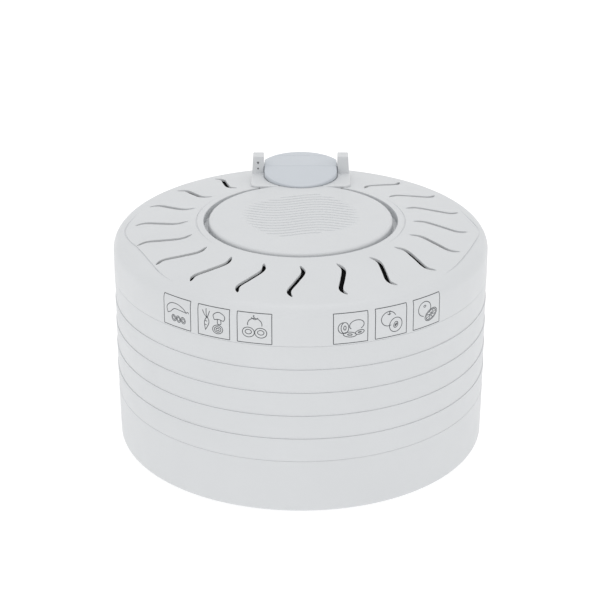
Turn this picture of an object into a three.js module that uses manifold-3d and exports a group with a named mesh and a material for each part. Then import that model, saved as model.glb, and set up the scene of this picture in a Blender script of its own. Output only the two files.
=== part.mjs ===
// A round stacking food dehydrator: a deep base bowl, five nesting trays and a powered head.
// Millimetres, +Z up. The origin is on the machine's axis at the level of the feet; -Y is the front.
// Trays and head lift straight off; the switch rocker tilts between its posts; the fan spins.
import * as THREE from "three";
import { mergeVertices } from "three/addons/utils/BufferGeometryUtils.js";
import Module from "manifold-3d";

const wasm = await Module();
wasm.setup();

// ---------------------------------------------------------------- driving dimensions
const GAP = 0.3; // running and resting gap between neighbouring pieces
const ROUND = 32; // sides of the large round mouldings
const BODY_R = 195; // widest radius of the machine
const WALL = 3; // moulded wall of base and head
const FOOT_PROUD = 1.5; // the feet lift the base rim this far off the table
const BASE_H = 58.45; // visible height of the base
const BASE_DRAFT = 1; // the base narrows this much towards the table
const BASE_FLOOR_Z = 4; // underside of the recessed base floor
const FOOT = { r: 11, at: 160, count: 4 };

const TRAY = {
  count: 5,
  pitch: 25.28, // visible height of one tray
  draft: 1.2, // the wall narrows this much from rim to lower edge
  wall: 2.2,
  floor: 2,
  floorLift: 2, // underside of the deck above the tray's lower edge
  holeR: 45, // air passage in the middle
  collarR: 48,
  collarH: 6,
  slots: 24, // air slots through the deck
  slotWidth: 6,
  slotFrom: 60,
  slotTo: 178,
};
const SPIGOT = { outer: 190.3, inner: 188.3, drop: 4 }; // ring that drops inside the rim below

const HEAD_Z = FOOT_PROUD + BASE_H + TRAY.count * TRAY.pitch;
const HEAD = {
  wallH: 27.2, // upright part of the side wall
  shoulder: 15, // radius of the rounded shoulder
  coneR: 110, // where the sloping top ends at the collar
  coneH: 53.2,
  collarR: 102.4, // inner edge of the collar, which is the wall of the trench
  trenchH: 44.6,
  mouthR: 88, // hole under the motor cap
};
const VENT = { count: 20, blindSide: 1, width: 5.5 }; // blindSide: vents left out each side of the back
// Centre line of the front vent: distance to the right and distance from the axis.
const VENT_PATH = [
  [-1.6, 113],
  [5, 125],
  [-12.3, 161],
  [-7.2, 171],
];

const CAP = { r: 96.5, topH: 56.25, wall: 3, edge: 4 };
const POD = { halfWidth: 54, frontY: 94, middleY: 128, corner: 9 };
const POST = { inner: 40.9, outer: 52.8, topInner: 41.2, topOuter: 51.4, y0: 128, y1: 142, topH: 76 };
const ROCKER = {
  halfWidth: 39.6,
  front: { y: 128, r: 41 }, // centre and radius of the round front edge
  rear: { y: 134, r: 40 },
  pivot: { y: 136, h: 62.2 },
  underH: 55.2, // flat underside
  lip: { y: 87, h: 58.9 }, // top of the front edge
  ridge: { y: 130, h: 64.5 }, // the top bends a little here
  tail: { y: 176, h: 66.5 },
  tailUnderH: 58.5,
  clearance: 1.3,
  pinR: 2,
};
const TUB = { floorH: 52.25, wall: 2 }; // recess under the rocker
const NOTCH = { width: 90, depth: 56, y: 110 }; // opening in the cover for the tub and the switch
const LUG = { width: 6, depth: 8, y: 118, underH: 50.9, play: 2 }; // presses the switch through the tub floor
const SCREEN = { inner: 108, outer: 173, thick: 1, below: 1 }; // dark dust screen under the vents
const PLATE = { outerR: 191.6, bottomH: 4, topH: 6.5, mouthR: 66, shroudH: 22 };
const GUARD = { r: 72, bottomH: 1.2, topH: 3.7, rings: [22, 44], bar: 2.2, spokes: 6 };
const HEATER = { r: 45, tube: 2.6, height: 8.2, openAngle: 0.5 };
const FAN = { r: 62, hubR: 13, bottomH: 13, topH: 24, blades: 7, pitch: 0.6 };
const MOTOR = { r: 29, bottomH: 29.3, topH: 48, plate: 3, rotorR: 14 };
const SHAFT_R = 2.5;
const BEARING = { bore: 2.6, outer: 6 };
const MOUNT = { r: 32, legR: 80, bottomH: 27, topH: 29, angles: [90, 210, 330], hole: 2 };
const SWITCH = { y: 112, width: 22, depth: 30, bottomH: 26, topH: 49.9 };
const PLATE_SCREW = { at: 180, angles: [20, 110, 200, 290], boss: 5, hole: 2.3 };
const GLAND = { h: 17, r: 6.6, bore: 3.6 };

// ---------------------------------------------------------------- finishes
/** Makes one finish. */
function finish(color, roughness, metalness = 0) {
  return new THREE.MeshStandardMaterial({ color, roughness, metalness });
}

const FINISH = {
  shell: finish(0xdadadb, 0.42),
  tray: finish(0xd6d7d8, 0.45),
  rocker: finish(0xcbcfd5, 0.4),
  rubber: finish(0x3a3a3c, 0.9),
  steel: finish(0xb9bcc0, 0.35, 1),
  iron: finish(0x6d7074, 0.5, 1),
  copper: finish(0xb4713d, 0.35, 1),
  bronze: finish(0xa98a54, 0.4, 1),
  dark: finish(0x3b3d40, 0.6),
  ceramic: finish(0xe9e4d8, 0.7),
  wire: finish(0x8c8f94, 0.6),
};

// ---------------------------------------------------------------- solids
/** Turns a closed three.js geometry into a manifold solid. */
function solidOf(geometry) {
  const bare = geometry.clone();
  bare.deleteAttribute("normal");
  bare.deleteAttribute("uv");
  const merged = mergeVertices(bare, 1e-4);
  const vertProperties = merged.attributes.position.array;
  const triVerts = new Uint32Array(merged.index.array);
  return new wasm.Manifold(new wasm.Mesh({ numProp: 3, vertProperties, triVerts }));
}

/** Turns a manifold solid back into a flat-shaded three.js geometry. */
function geometryOf(solid) {
  const { numProp, vertProperties, triVerts } = solid.getMesh();
  const indexed = new THREE.BufferGeometry();
  indexed.setAttribute("position", new THREE.BufferAttribute(vertProperties, numProp));
  indexed.setIndex(new THREE.BufferAttribute(triVerts, 1));
  const flat = indexed.toNonIndexed();
  flat.computeVertexNormals();
  return flat;
}

/** Revolves a closed profile of [radius, height] points, listed anticlockwise, about Z. */
function lathe(profile, segments = ROUND) {
  const points = profile.map(([r, z]) => new THREE.Vector2(r, z));
  points.push(points[0].clone());
  return solidOf(new THREE.LatheGeometry(points, segments).rotateX(Math.PI / 2));
}

/** A cylinder, or a cone frustum, about Z between two heights. */
function drum(r, z0, z1, segments = 24, topR = r) {
  const geometry = new THREE.CylinderGeometry(topR, r, z1 - z0, segments);
  return solidOf(geometry.rotateX(Math.PI / 2).translate(0, 0, (z0 + z1) / 2));
}

/** A flat ring about Z. */
function ring(inner, outer, z0, z1, segments = 24) {
  const corners = [[inner, z0], [outer, z0], [outer, z1], [inner, z1]];
  return lathe(corners, segments);
}

/** An upright prism over a plan outline. */
function prism(shape, z0, z1, curveSegments = 6) {
  const settings = { depth: z1 - z0, bevelEnabled: false, curveSegments };
  return solidOf(new THREE.ExtrudeGeometry(shape, settings).translate(0, 0, z0));
}

/** A block centred in X and Y on a point. */
function block(width, depth, z0, z1, x = 0, y = 0) {
  const geometry = new THREE.BoxGeometry(width, depth, z1 - z0);
  return solidOf(geometry.translate(x, y, (z0 + z1) / 2));
}

/** A prism along X over an outline of [y, z] points. */
function prismAlongX(outline, x0, x1) {
  const shape = new THREE.Shape(outline.map((p) => new THREE.Vector2(...p)));
  const geometry = new THREE.ExtrudeGeometry(shape, { depth: x1 - x0, bevelEnabled: false });
  const [x, y, z] = [new THREE.Vector3(1, 0, 0), new THREE.Vector3(0, 1, 0), new THREE.Vector3(0, 0, 1)];
  const turn = new THREE.Matrix4().makeBasis(y, z, x).setPosition(x0, 0, 0);
  return solidOf(geometry.applyMatrix4(turn));
}

/** A prism along Y over an outline of [x, z] points. */
function prismAlongY(outline, y0, y1) {
  const shape = new THREE.Shape(outline.map((p) => new THREE.Vector2(...p)));
  const geometry = new THREE.ExtrudeGeometry(shape, { depth: y1 - y0, bevelEnabled: false });
  return solidOf(geometry.rotateX(Math.PI / 2).translate(0, y1, 0));
}

/** A round bar along a smooth curve through points. */
function bar(points, radius, steps, sides = 8) {
  const curve = new THREE.CatmullRomCurve3(points.map((p) => new THREE.Vector3(...p)));
  const section = new THREE.Shape();
  section.setFromPoints(
    Array.from({ length: sides }, (_, i) => {
      const a = (i / sides) * 2 * Math.PI;
      return new THREE.Vector2(radius * Math.cos(a), radius * Math.sin(a));
    }),
  );
  return solidOf(new THREE.ExtrudeGeometry(section, { steps, extrudePath: curve, bevelEnabled: false }));
}

/** Places copies of a solid evenly about Z and joins them into one list. */
function around(solid, count, first = 0) {
  return Array.from({ length: count }, (_, i) => solid.rotate([0, 0, first + (i * 360) / count]));
}

/** Cuts every solid of a list out of a body. */
function cut(body, tools) {
  return tools.reduce((left, tool) => left.subtract(tool), body);
}

/** Joins every solid of a list to a body. */
function join(body, parts) {
  return parts.reduce((whole, part) => whole.add(part), body);
}

/** A position at a radius and an angle in degrees, in plan. */
function polar(radius, degrees) {
  const a = THREE.MathUtils.degToRad(degrees);
  return [radius * Math.cos(a), radius * Math.sin(a)];
}

// ---------------------------------------------------------------- base
/** The base bowl: upright wall, rounded lower edge, floor recessed above the table. */
function baseBowl() {
  const top = FOOT_PROUD + BASE_H - GAP / 2;
  const outer = BODY_R - 0.5;
  const low = outer - BASE_DRAFT;
  return lathe([
    [0, BASE_FLOOR_Z],
    [low - 9, BASE_FLOOR_Z],
    [low - 7, FOOT_PROUD],
    [low - 5, FOOT_PROUD],
    [low - 1.5, FOOT_PROUD + 1.5],
    [low, FOOT_PROUD + 5],
    [outer, top],
    [outer - WALL, top],
    [low - WALL - 0.6, BASE_FLOOR_Z + 8],
    [low - WALL - 6, BASE_FLOOR_Z + WALL],
    [0, BASE_FLOOR_Z + WALL],
  ]);
}

/** One rubber foot, a low frustum under the base floor. */
function foot(index) {
  const [x, y] = polar(FOOT.at, 45 + (index * 360) / FOOT.count);
  return drum(FOOT.r - 1, 0, BASE_FLOOR_Z - GAP, 20, FOOT.r).translate([x, y, 0]);
}

// ---------------------------------------------------------------- trays
/** The first air slot through a tray's deck, as a cutter. */
function deckSlot(z0, z1) {
  return block(TRAY.slotTo - TRAY.slotFrom, TRAY.slotWidth, z0, z1, (TRAY.slotTo + TRAY.slotFrom) / 2, 0);
}

/** One tray: drafted wall, spigot below, slotted deck with a low collar round the middle. */
function tray(index) {
  const z = FOOT_PROUD + BASE_H + index * TRAY.pitch;
  const low = z + GAP / 2;
  const top = z + TRAY.pitch - GAP / 2;
  const floor = z + TRAY.floorLift;
  const deck = floor + TRAY.floor;
  const body = lathe([
    [TRAY.holeR, floor],
    [SPIGOT.inner, floor],
    [SPIGOT.inner, z - SPIGOT.drop],
    [SPIGOT.outer, z - SPIGOT.drop],
    [SPIGOT.outer, low],
    [BODY_R - TRAY.draft, low],
    [BODY_R, top - 1],
    [BODY_R - 0.5, top],
    [BODY_R - TRAY.wall - 0.8, top],
    [SPIGOT.outer, deck],
    [TRAY.collarR, deck],
    [TRAY.collarR, floor + TRAY.collarH],
    [TRAY.holeR, floor + TRAY.collarH],
  ]);
  return cut(body, around(deckSlot(floor - 1, deck + 1), TRAY.slots));
}

// ---------------------------------------------------------------- head shell
/** Profile points of the head's rounded shoulder, at a distance inside the outer surface. */
function shoulder(inset, steps) {
  const slope = (HEAD.coneH - HEAD.wallH - HEAD.shoulder) / (BODY_R - HEAD.shoulder - HEAD.coneR);
  const last = Math.PI / 2 - Math.atan(slope);
  return Array.from({ length: steps + 1 }, (_, i) => {
    const a = (last * i) / steps;
    const r = HEAD.shoulder - inset;
    const across = BODY_R - HEAD.shoulder + r * Math.cos(a);
    return [across, HEAD_Z + HEAD.wallH + r * Math.sin(a)];
  });
}

/** One curved vent, as a cutter that stands at the front. */
function ventCutter() {
  const path = new THREE.SplineCurve(VENT_PATH.map(([x, r]) => new THREE.Vector2(x, -r)));
  const samples = 5;
  const side = (sign) =>
    Array.from({ length: samples + 1 }, (_, i) => {
      const t = i / samples;
      const along = path.getTangent(t);
      const half = (sign * VENT.width * (i % samples ? 1 : 0.6)) / 2;
      return path.getPoint(t).add(new THREE.Vector2(-along.y, along.x).multiplyScalar(half));
    });
  const outline = new THREE.Shape([...side(-1), ...side(1).reverse()]);
  return prism(outline, HEAD_Z + 30, HEAD_Z + 60);
}

/** A screw boss hanging from the inside of the head cover. */
function screwBoss(degrees) {
  const [x, y] = polar(PLATE_SCREW.at, degrees);
  const low = HEAD_Z + PLATE.topH + GAP;
  const sleeve = drum(PLATE_SCREW.boss, low, HEAD_Z + 40, 12);
  const hole = drum(PLATE_SCREW.hole, low - 1, HEAD_Z + 24, 12);
  return { sleeve: sleeve.translate([x, y, 0]), hole: hole.translate([x, y, 0]) };
}

/** The head cover: side wall, shoulder, sloping vented top, collar and the trench round the cap. */
function headCover() {
  const low = HEAD_Z + GAP / 2;
  const inner = shoulder(WALL, 3).reverse();
  let cover = lathe([
    [BODY_R, low],
    ...shoulder(0, 4),
    [HEAD.coneR, HEAD_Z + HEAD.coneH],
    [HEAD.collarR, HEAD_Z + HEAD.coneH + 0.3],
    [HEAD.collarR, HEAD_Z + HEAD.trenchH],
    [HEAD.mouthR, HEAD_Z + HEAD.trenchH],
    [HEAD.mouthR, HEAD_Z + HEAD.trenchH - WALL],
    [HEAD.collarR + WALL, HEAD_Z + HEAD.trenchH - WALL],
    [HEAD.collarR + WALL, HEAD_Z + HEAD.coneH - WALL + 0.6],
    ...inner,
    [BODY_R - WALL, low],
  ]);
  const bosses = PLATE_SCREW.angles.map(screwBoss);
  cover = join(cover, bosses.map((boss) => boss.sleeve));
  cover = cut(cover, bosses.map((boss) => boss.hole));
  const vent = ventCutter();
  for (let k = 0; k < VENT.count; k++) {
    const fromBack = Math.abs(k - VENT.count / 2);
    if (fromBack > VENT.blindSide) cover = cover.subtract(vent.rotate([0, 0, (k * 360) / VENT.count]));
  }
  const cordHole = drum(GLAND.r + GAP, 0, 30, 16).rotate([-90, 0, 0]).translate([0, 180, HEAD_Z + GLAND.h]);
  return cut(cover, [notch(0), cordHole]);
}

/** The opening in the cover for the tub and the switch, as a cutter grown by a margin. */
function notch(grow) {
  return block(NOTCH.width + 2 * grow, NOTCH.depth + 2 * grow, HEAD_Z + 36, HEAD_Z + 60, 0, NOTCH.y);
}

/** The dark dust screen: a thin cone ring close under the vents, cut away round the switch. */
function dustScreen() {
  const innerSurface = (r) => {
    const [edgeR, edgeZ] = shoulder(WALL, 1)[1];
    const collar = [HEAD.collarR + WALL, HEAD_Z + HEAD.coneH - WALL + 0.6];
    const share = (r - collar[0]) / (edgeR - collar[0]);
    return THREE.MathUtils.lerp(collar[1], edgeZ, share);
  };
  const top = (r) => innerSurface(r) - SCREEN.below;
  const screen = lathe([
    [SCREEN.inner, top(SCREEN.inner) - SCREEN.thick],
    [SCREEN.outer, top(SCREEN.outer) - SCREEN.thick],
    [SCREEN.outer, top(SCREEN.outer)],
    [SCREEN.inner, top(SCREEN.inner)],
  ]);
  return screen.subtract(notch(1));
}

/** Plan outline of the switch pod: square front corners rounded, half-round at the back. */
function podOutline(inset) {
  const w = POD.halfWidth - inset;
  const front = POD.frontY + inset;
  const c = POD.corner - inset / 2;
  const outline = new THREE.Shape();
  outline.moveTo(w, POD.middleY);
  outline.absarc(0, POD.middleY, w, 0, Math.PI, false);
  outline.lineTo(-w, front + c);
  outline.absarc(-w + c, front + c, c, Math.PI, 1.5 * Math.PI, false);
  outline.absarc(w - c, front + c, c, 1.5 * Math.PI, 2 * Math.PI, false);
  outline.closePath();
  return outline;
}

/** Plan outline of the rocker: round front and rear edges between two straight sides. */
function rockerOutline(grow) {
  const { front, rear, halfWidth } = ROCKER;
  const w = halfWidth + grow;
  const frontStart = Math.acos(w / (front.r + grow));
  const rearStart = Math.acos(w / (rear.r + grow));
  const outline = new THREE.Shape();
  outline.absarc(0, front.y, front.r + grow, frontStart - Math.PI, -frontStart, false);
  outline.absarc(0, rear.y, rear.r + grow, rearStart, Math.PI - rearStart, false);
  outline.closePath();
  return outline;
}

/** Everything under the cap: the outer surface of the cover, raised by the resting gap. */
function coverEnvelope() {
  return lathe([
    [0, HEAD_Z],
    [BODY_R + 5, HEAD_Z],
    ...shoulder(-GAP, 4),
    [HEAD.coneR, HEAD_Z + HEAD.coneH + GAP],
    [HEAD.collarR - GAP, HEAD_Z + HEAD.coneH + 2 * GAP],
    [HEAD.collarR - GAP, HEAD_Z + HEAD.trenchH + GAP],
    [0, HEAD_Z + HEAD.trenchH + GAP],
  ]);
}

/** One upright post beside the rocker, with a blind bore for its pin. side is -1 or 1. */
function pivotPost(side) {
  const low = HEAD_Z + CAP.topH - 2;
  const high = HEAD_Z + POST.topH;
  const outline = [
    [side * POST.inner, low],
    [side * POST.outer, low],
    [side * POST.topOuter, high],
    [side * POST.topInner, high],
  ];
  return prismAlongY(outline, POST.y0, POST.y1);
}

/** Cutters for the pin bores, through both posts' inner faces and the rocker's sides. */
function pinBore(side) {
  const bore = drum(ROCKER.pinR + GAP, 0, 16, 12).rotate([0, 90, 0]);
  return bore.translate([side > 0 ? 33 : -49, ROCKER.pivot.y, HEAD_Z + ROCKER.pivot.h]);
}

/** The motor cap: a raised round disc with the switch pod, its recess and its posts behind it. */
function motorCap() {
  const top = HEAD_Z + CAP.topH;
  const under = top - CAP.wall;
  const disc = lathe([
    [0, under],
    [CAP.r - CAP.wall, under],
    [CAP.r - CAP.wall, HEAD_Z + HEAD.trenchH + GAP],
    [CAP.r, HEAD_Z + HEAD.trenchH + GAP],
    [CAP.r, top - CAP.edge],
    [CAP.r - 1.2, top - 1.2],
    [CAP.r - CAP.edge, top],
    [0, top],
  ], 48);
  const pod = prism(podOutline(0), HEAD_Z + 36, top).subtract(coverEnvelope());
  const hollow = prism(podOutline(CAP.wall), HEAD_Z + 30, under);
  const tubFloor = HEAD_Z + TUB.floorH;
  const tub = prism(rockerOutline(ROCKER.clearance + TUB.wall), tubFloor - TUB.wall, under + 1, 8);
  const recess = prism(rockerOutline(ROCKER.clearance), tubFloor, HEAD_Z + 90, 8);
  const lugSlot = block(LUG.width + 2 * LUG.play, LUG.depth + 4 * LUG.play, tubFloor - 5, tubFloor + 5, 0, LUG.y);
  const solid = join(disc, [pod.subtract(hollow), tub, pivotPost(-1), pivotPost(1)]);
  return cut(solid, [recess, lugSlot, pinBore(-1), pinBore(1)]);
}

// ---------------------------------------------------------------- switch
/** The broad rocker: round ends, a top that bends at a low ridge, and a lug that works the switch. */
function switchRocker() {
  const { underH, lip, ridge, tail, tailUnderH, front, rear } = ROCKER;
  const side = [
    [front.y - front.r - 1, underH],
    [POST.y0, underH],
    [tail.y, tailUnderH],
    [tail.y, tail.h],
    [ridge.y, ridge.h],
    [lip.y, lip.h],
    [front.y - front.r - 1, lip.h - 0.3],
  ].map(([y, h]) => [y, HEAD_Z + h]);
  const slab = prismAlongX(side, -rear.r - 2, rear.r + 2);
  const body = prism(rockerOutline(0), HEAD_Z + underH - 5, HEAD_Z + tail.h + 5, 8).intersect(slab);
  const lug = block(LUG.width, LUG.depth, HEAD_Z + LUG.underH, HEAD_Z + underH + 1, 0, LUG.y);
  return cut(body.add(lug), [pinBore(-1), pinBore(1)]);
}

/** One steel pin between rocker and post. side is -1 or 1. */
function rockerPin(side) {
  const pin = drum(ROCKER.pinR, 0, 15, 12).rotate([0, 90, 0]);
  return pin.translate([side > 0 ? 33.5 : -48.5, ROCKER.pivot.y, HEAD_Z + ROCKER.pivot.h]);
}

/** The switch itself, hanging under the recess. */
function switchBody() {
  return block(SWITCH.width, SWITCH.depth, HEAD_Z + SWITCH.bottomH, HEAD_Z + SWITCH.topH, 0, SWITCH.y);
}

// ---------------------------------------------------------------- air plate, guard and heater
/** The plate that closes the head from below: spigot, air mouth and the shroud round the fan. */
function airPlate() {
  const low = HEAD_Z + PLATE.bottomH;
  const top = HEAD_Z + PLATE.topH;
  const plate = lathe([
    [PLATE.mouthR, low],
    [SPIGOT.inner, low],
    [SPIGOT.inner, HEAD_Z - SPIGOT.drop],
    [SPIGOT.outer, HEAD_Z - SPIGOT.drop],
    [SPIGOT.outer, low],
    [PLATE.outerR, low],
    [PLATE.outerR, top],
    [PLATE.mouthR + 2.5, top],
    [PLATE.mouthR + 2.5, HEAD_Z + PLATE.shroudH],
    [PLATE.mouthR, HEAD_Z + PLATE.shroudH],
  ]);
  const hole = (radius, at, degrees) => {
    const [x, y] = polar(at, degrees);
    return drum(radius, low - 1, top + 1, 12).translate([x, y, 0]);
  };
  const plateHoles = PLATE_SCREW.angles.map((a) => hole(PLATE_SCREW.hole, PLATE_SCREW.at, a));
  const mountHoles = MOUNT.angles.map((a) => hole(MOUNT.hole, MOUNT.legR, a));
  return cut(plate, [...plateHoles, ...mountHoles]);
}

/** The open guard under the fan: concentric bars carried by spokes. */
function fanGuard() {
  const z0 = HEAD_Z + GUARD.bottomH;
  const z1 = HEAD_Z + GUARD.topH;
  const hub = drum(10, z0, z1, 12);
  const rings = GUARD.rings.map((r) => ring(r, r + GUARD.bar, z0, z1, 18));
  const rim = ring(GUARD.r - 6, GUARD.r, z0, z1, 18);
  const spoke = block(GUARD.r - 4, GUARD.bar, z0, z1, (GUARD.r - 4) / 2, 0);
  return join(hub, [...rings, rim, ...around(spoke, GUARD.spokes)]);
}

/** The sheathed heating element: an open ring whose two ends turn up to the terminals. */
function heaterElement() {
  const h = HEAD_Z + HEATER.height;
  const turns = 16;
  const sweep = 2 * Math.PI - HEATER.openAngle;
  const loop = Array.from({ length: turns + 1 }, (_, i) => {
    const a = HEATER.openAngle / 2 + (sweep * i) / turns;
    return [HEATER.r * Math.cos(a), HEATER.r * Math.sin(a), h];
  });
  return bar(loop, HEATER.tube, 32, 8);
}

/** One ceramic block that the heating element lies on. */
function heaterSupport(index) {
  const [x, y] = polar(HEATER.r, 60 + index * 120);
  const z1 = HEAD_Z + HEATER.height - HEATER.tube - GAP;
  return block(10, 10, HEAD_Z + GUARD.topH + GAP, z1, x, y);
}

// ---------------------------------------------------------------- fan and motor
/** The fan: a hub with pitched blades, bored for the motor shaft. */
function fanImpeller() {
  const z0 = HEAD_Z + FAN.bottomH;
  const z1 = HEAD_Z + FAN.topH;
  const hub = drum(FAN.hubR, z0, z1, 24);
  const bladeLength = FAN.r - FAN.hubR + 3;
  const blade = solidOf(new THREE.BoxGeometry(bladeLength, 16, 1.6))
    .rotate([THREE.MathUtils.radToDeg(FAN.pitch), 0, 0])
    .translate([FAN.hubR - 3 + bladeLength / 2, 0, (z0 + z1) / 2]);
  const bore = drum(SHAFT_R + GAP, z0 - 1, z1 + 1, 16);
  return join(hub, around(blade, FAN.blades)).subtract(bore);
}

/** The hexagonal nut that holds the fan on the shaft. */
function fanNut() {
  const z1 = HEAD_Z + FAN.bottomH - GAP;
  const z0 = z1 - 3.5;
  return drum(6, z0, z1, 6).subtract(drum(SHAFT_R + GAP, z0 - 1, z1 + 1, 16));
}

/** One end plate of the motor, with a seat for its bearing. */
function motorPlate(z0) {
  return ring(BEARING.outer + GAP, MOTOR.r, z0, z0 + MOTOR.plate, 24);
}

/** A sleeve bearing in an end plate. */
function bearing(z0) {
  return ring(BEARING.bore, BEARING.outer, z0, z0 + MOTOR.plate, 24);
}

/** The laminated stator, open in the middle for the rotor. */
function motorStator() {
  const z0 = HEAD_Z + MOTOR.bottomH + MOTOR.plate + GAP;
  const z1 = HEAD_Z + MOTOR.topH - MOTOR.plate - GAP;
  return ring(MOTOR.rotorR + 0.6, MOTOR.r - 1, z0, z1, 24);
}

/** The winding, a wrapped block beside the stator. */
function motorCoil() {
  const z0 = HEAD_Z + MOTOR.bottomH + MOTOR.plate + GAP;
  const z1 = HEAD_Z + MOTOR.topH - MOTOR.plate - GAP;
  const outline = new THREE.Shape();
  outline.absarc(MOTOR.r + 9, 0, 7.5, -Math.PI / 2, Math.PI / 2, false);
  outline.lineTo(MOTOR.r + 1, 7.5);
  outline.lineTo(MOTOR.r + 1, -7.5);
  outline.closePath();
  return prism(outline, z0, z1);
}

/** The rotor's iron core on the shaft. */
function motorRotor() {
  const z0 = HEAD_Z + MOTOR.bottomH + MOTOR.plate + 1;
  const z1 = HEAD_Z + MOTOR.topH - MOTOR.plate - 1;
  return ring(SHAFT_R + GAP, MOTOR.rotorR, z0, z1, 24);
}

/** The bridge that holds the motor over the fan: a ring with arms and feet on the air plate. */
function motorMount() {
  const z0 = HEAD_Z + MOUNT.bottomH;
  const z1 = HEAD_Z + MOUNT.topH;
  const low = HEAD_Z + PLATE.topH + GAP;
  const arm = block(MOUNT.legR - 20, 10, z0, z1, 20 + (MOUNT.legR - 20) / 2, 0);
  const leg = block(3, 10, low, z1, MOUNT.legR - 8, 0);
  const pad = block(14, 10, low, low + 2.5, MOUNT.legR, 0);
  const trim = block(20, 12, z0 - 1, z1 + 1, MOUNT.legR + 3.5, 0);
  const hole = drum(MOUNT.hole, low - 1, low + 4, 12).translate([MOUNT.legR, 0, 0]);
  const support = join(arm.subtract(trim), [leg, pad]).subtract(hole);
  return join(ring(10, MOUNT.r, z0, z1, 24), around(support, MOUNT.angles.length, MOUNT.angles[0]));
}

// ---------------------------------------------------------------- wiring and fasteners
/** The grommet in the rear wall through which the supply cord would pass. */
function cordGland() {
  const profile = [
    [GLAND.bore, 0],
    [GLAND.r + 3, 0],
    [GLAND.r + 3, 3],
    [GLAND.r, 3],
    [GLAND.r, 8],
    [GLAND.bore, 8],
  ];
  return lathe(profile, 16).rotate([-90, 0, 0]).translate([0, 186.5, HEAD_Z + GLAND.h]);
}

/** A pan-head screw pointing up, its head's underside at height z. */
function screw(headR, shankR, length) {
  return join(drum(headR, -2.2, 0, 12), [drum(shankR, -1, length, 12)]);
}

/** A screw that holds the air plate to the cover, driven from below. */
function plateScrew(degrees) {
  const [x, y] = polar(PLATE_SCREW.at, degrees);
  return screw(4, 1.8, 14).translate([x, y, HEAD_Z + PLATE.bottomH - GAP]);
}

/** A screw that holds the motor mount to the air plate, driven from above. */
function mountScrew(degrees) {
  const [x, y] = polar(MOUNT.legR, degrees);
  const z = HEAD_Z + PLATE.topH + GAP + 2.5 + GAP;
  return screw(3.2, 1.5, 5).rotate([180, 0, 0]).translate([x, y, z]);
}

const TERMINAL_BLOCK = { x: -70, y: 118, width: 34, depth: 14, h: 12 };
const CUT_OUT = { x: 96, y: 0, width: 12, depth: 20, h: 9 };

/** A block standing on the air plate. */
function onPlate({ x, y, width, depth, h }) {
  const z0 = HEAD_Z + PLATE.topH + GAP;
  return block(width, depth, z0, z0 + h, x, y);
}

/** Internal leads, each along its own route; points are plan position and height above the head seam. */
const WIRES = {
  wire_supply: [[0, 183, 17], [-14, 172, 15], [-34, 146, 20], [-63, 120, 27], [-64, 118, 20.4]],
  wire_motor: [[-74, 118, 20.4], [-74, 114, 28], [-66, 82, 34], [-46, 44, 36], [-30, 22, 40]],
  wire_switch: [[-52.3, 118, 13], [-42, 118, 16], [-24, 114, 34], [-11.7, 112, 38]],
  wire_heater: [[-80, 110.3, 12], [-82, 96, 14], [-78, 70, 24], [-72, 46, 30], [-74, 30, 24]],
};

/** One internal lead. */
function wire(route) {
  return bar(route.map(([x, y, h]) => [x, y, HEAD_Z + h]), 1.4, 14, 6);
}

// ---------------------------------------------------------------- assembly
const dehydrator = new THREE.Group();
dehydrator.name = "food_dehydrator";

/** Adds one named piece to a group. */
function piece(group, name, solid, material) {
  const mesh = new THREE.Mesh(geometryOf(solid), material);
  mesh.name = name;
  group.add(mesh);
}

/** A named sub-assembly. */
function assembly(name) {
  const group = new THREE.Group();
  group.name = name;
  dehydrator.add(group);
  return group;
}

const base = assembly("base_group");
piece(base, "base_bowl", baseBowl(), FINISH.shell);
for (let i = 0; i < FOOT.count; i++) piece(base, `foot_${i + 1}`, foot(i), FINISH.rubber);

const stack = assembly("tray_group");
for (let i = 0; i < TRAY.count; i++) piece(stack, `tray_${i + 1}`, tray(i), FINISH.tray);

const head = assembly("head_group");
piece(head, "head_cover", headCover(), FINISH.shell);
piece(head, "motor_cap", motorCap(), FINISH.shell);
piece(head, "dust_screen", dustScreen(), FINISH.dark);
piece(head, "air_plate", airPlate(), FINISH.shell);
piece(head, "fan_guard", fanGuard(), FINISH.shell);
piece(head, "heater_element", heaterElement(), FINISH.iron);
for (let i = 0; i < 3; i++) piece(head, `heater_support_${i + 1}`, heaterSupport(i), FINISH.ceramic);
piece(head, "motor_mount", motorMount(), FINISH.steel);
const lowerPlateZ = HEAD_Z + MOTOR.bottomH;
const upperPlateZ = HEAD_Z + MOTOR.topH - MOTOR.plate;
piece(head, "motor_plate_lower", motorPlate(lowerPlateZ), FINISH.steel);
piece(head, "motor_plate_upper", motorPlate(upperPlateZ), FINISH.steel);
piece(head, "bearing_lower", bearing(lowerPlateZ), FINISH.bronze);
piece(head, "bearing_upper", bearing(upperPlateZ), FINISH.bronze);
piece(head, "motor_stator", motorStator(), FINISH.iron);
piece(head, "motor_coil", motorCoil(), FINISH.copper);
piece(head, "switch_body", switchBody(), FINISH.dark);
piece(head, "thermal_cut_out", onPlate(CUT_OUT), FINISH.dark);
piece(head, "terminal_block", onPlate(TERMINAL_BLOCK), FINISH.dark);
piece(head, "cord_gland", cordGland(), FINISH.rubber);
PLATE_SCREW.angles.forEach((a, i) => piece(head, `plate_screw_${i + 1}`, plateScrew(a), FINISH.steel));
MOUNT.angles.forEach((a, i) => piece(head, `mount_screw_${i + 1}`, mountScrew(a), FINISH.steel));
for (const [name, route] of Object.entries(WIRES)) piece(head, name, wire(route), FINISH.wire);

const control = assembly("rocker_group");
piece(control, "switch_rocker", switchRocker(), FINISH.rocker);
piece(control, "rocker_pin_left", rockerPin(-1), FINISH.steel);
piece(control, "rocker_pin_right", rockerPin(1), FINISH.steel);

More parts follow.
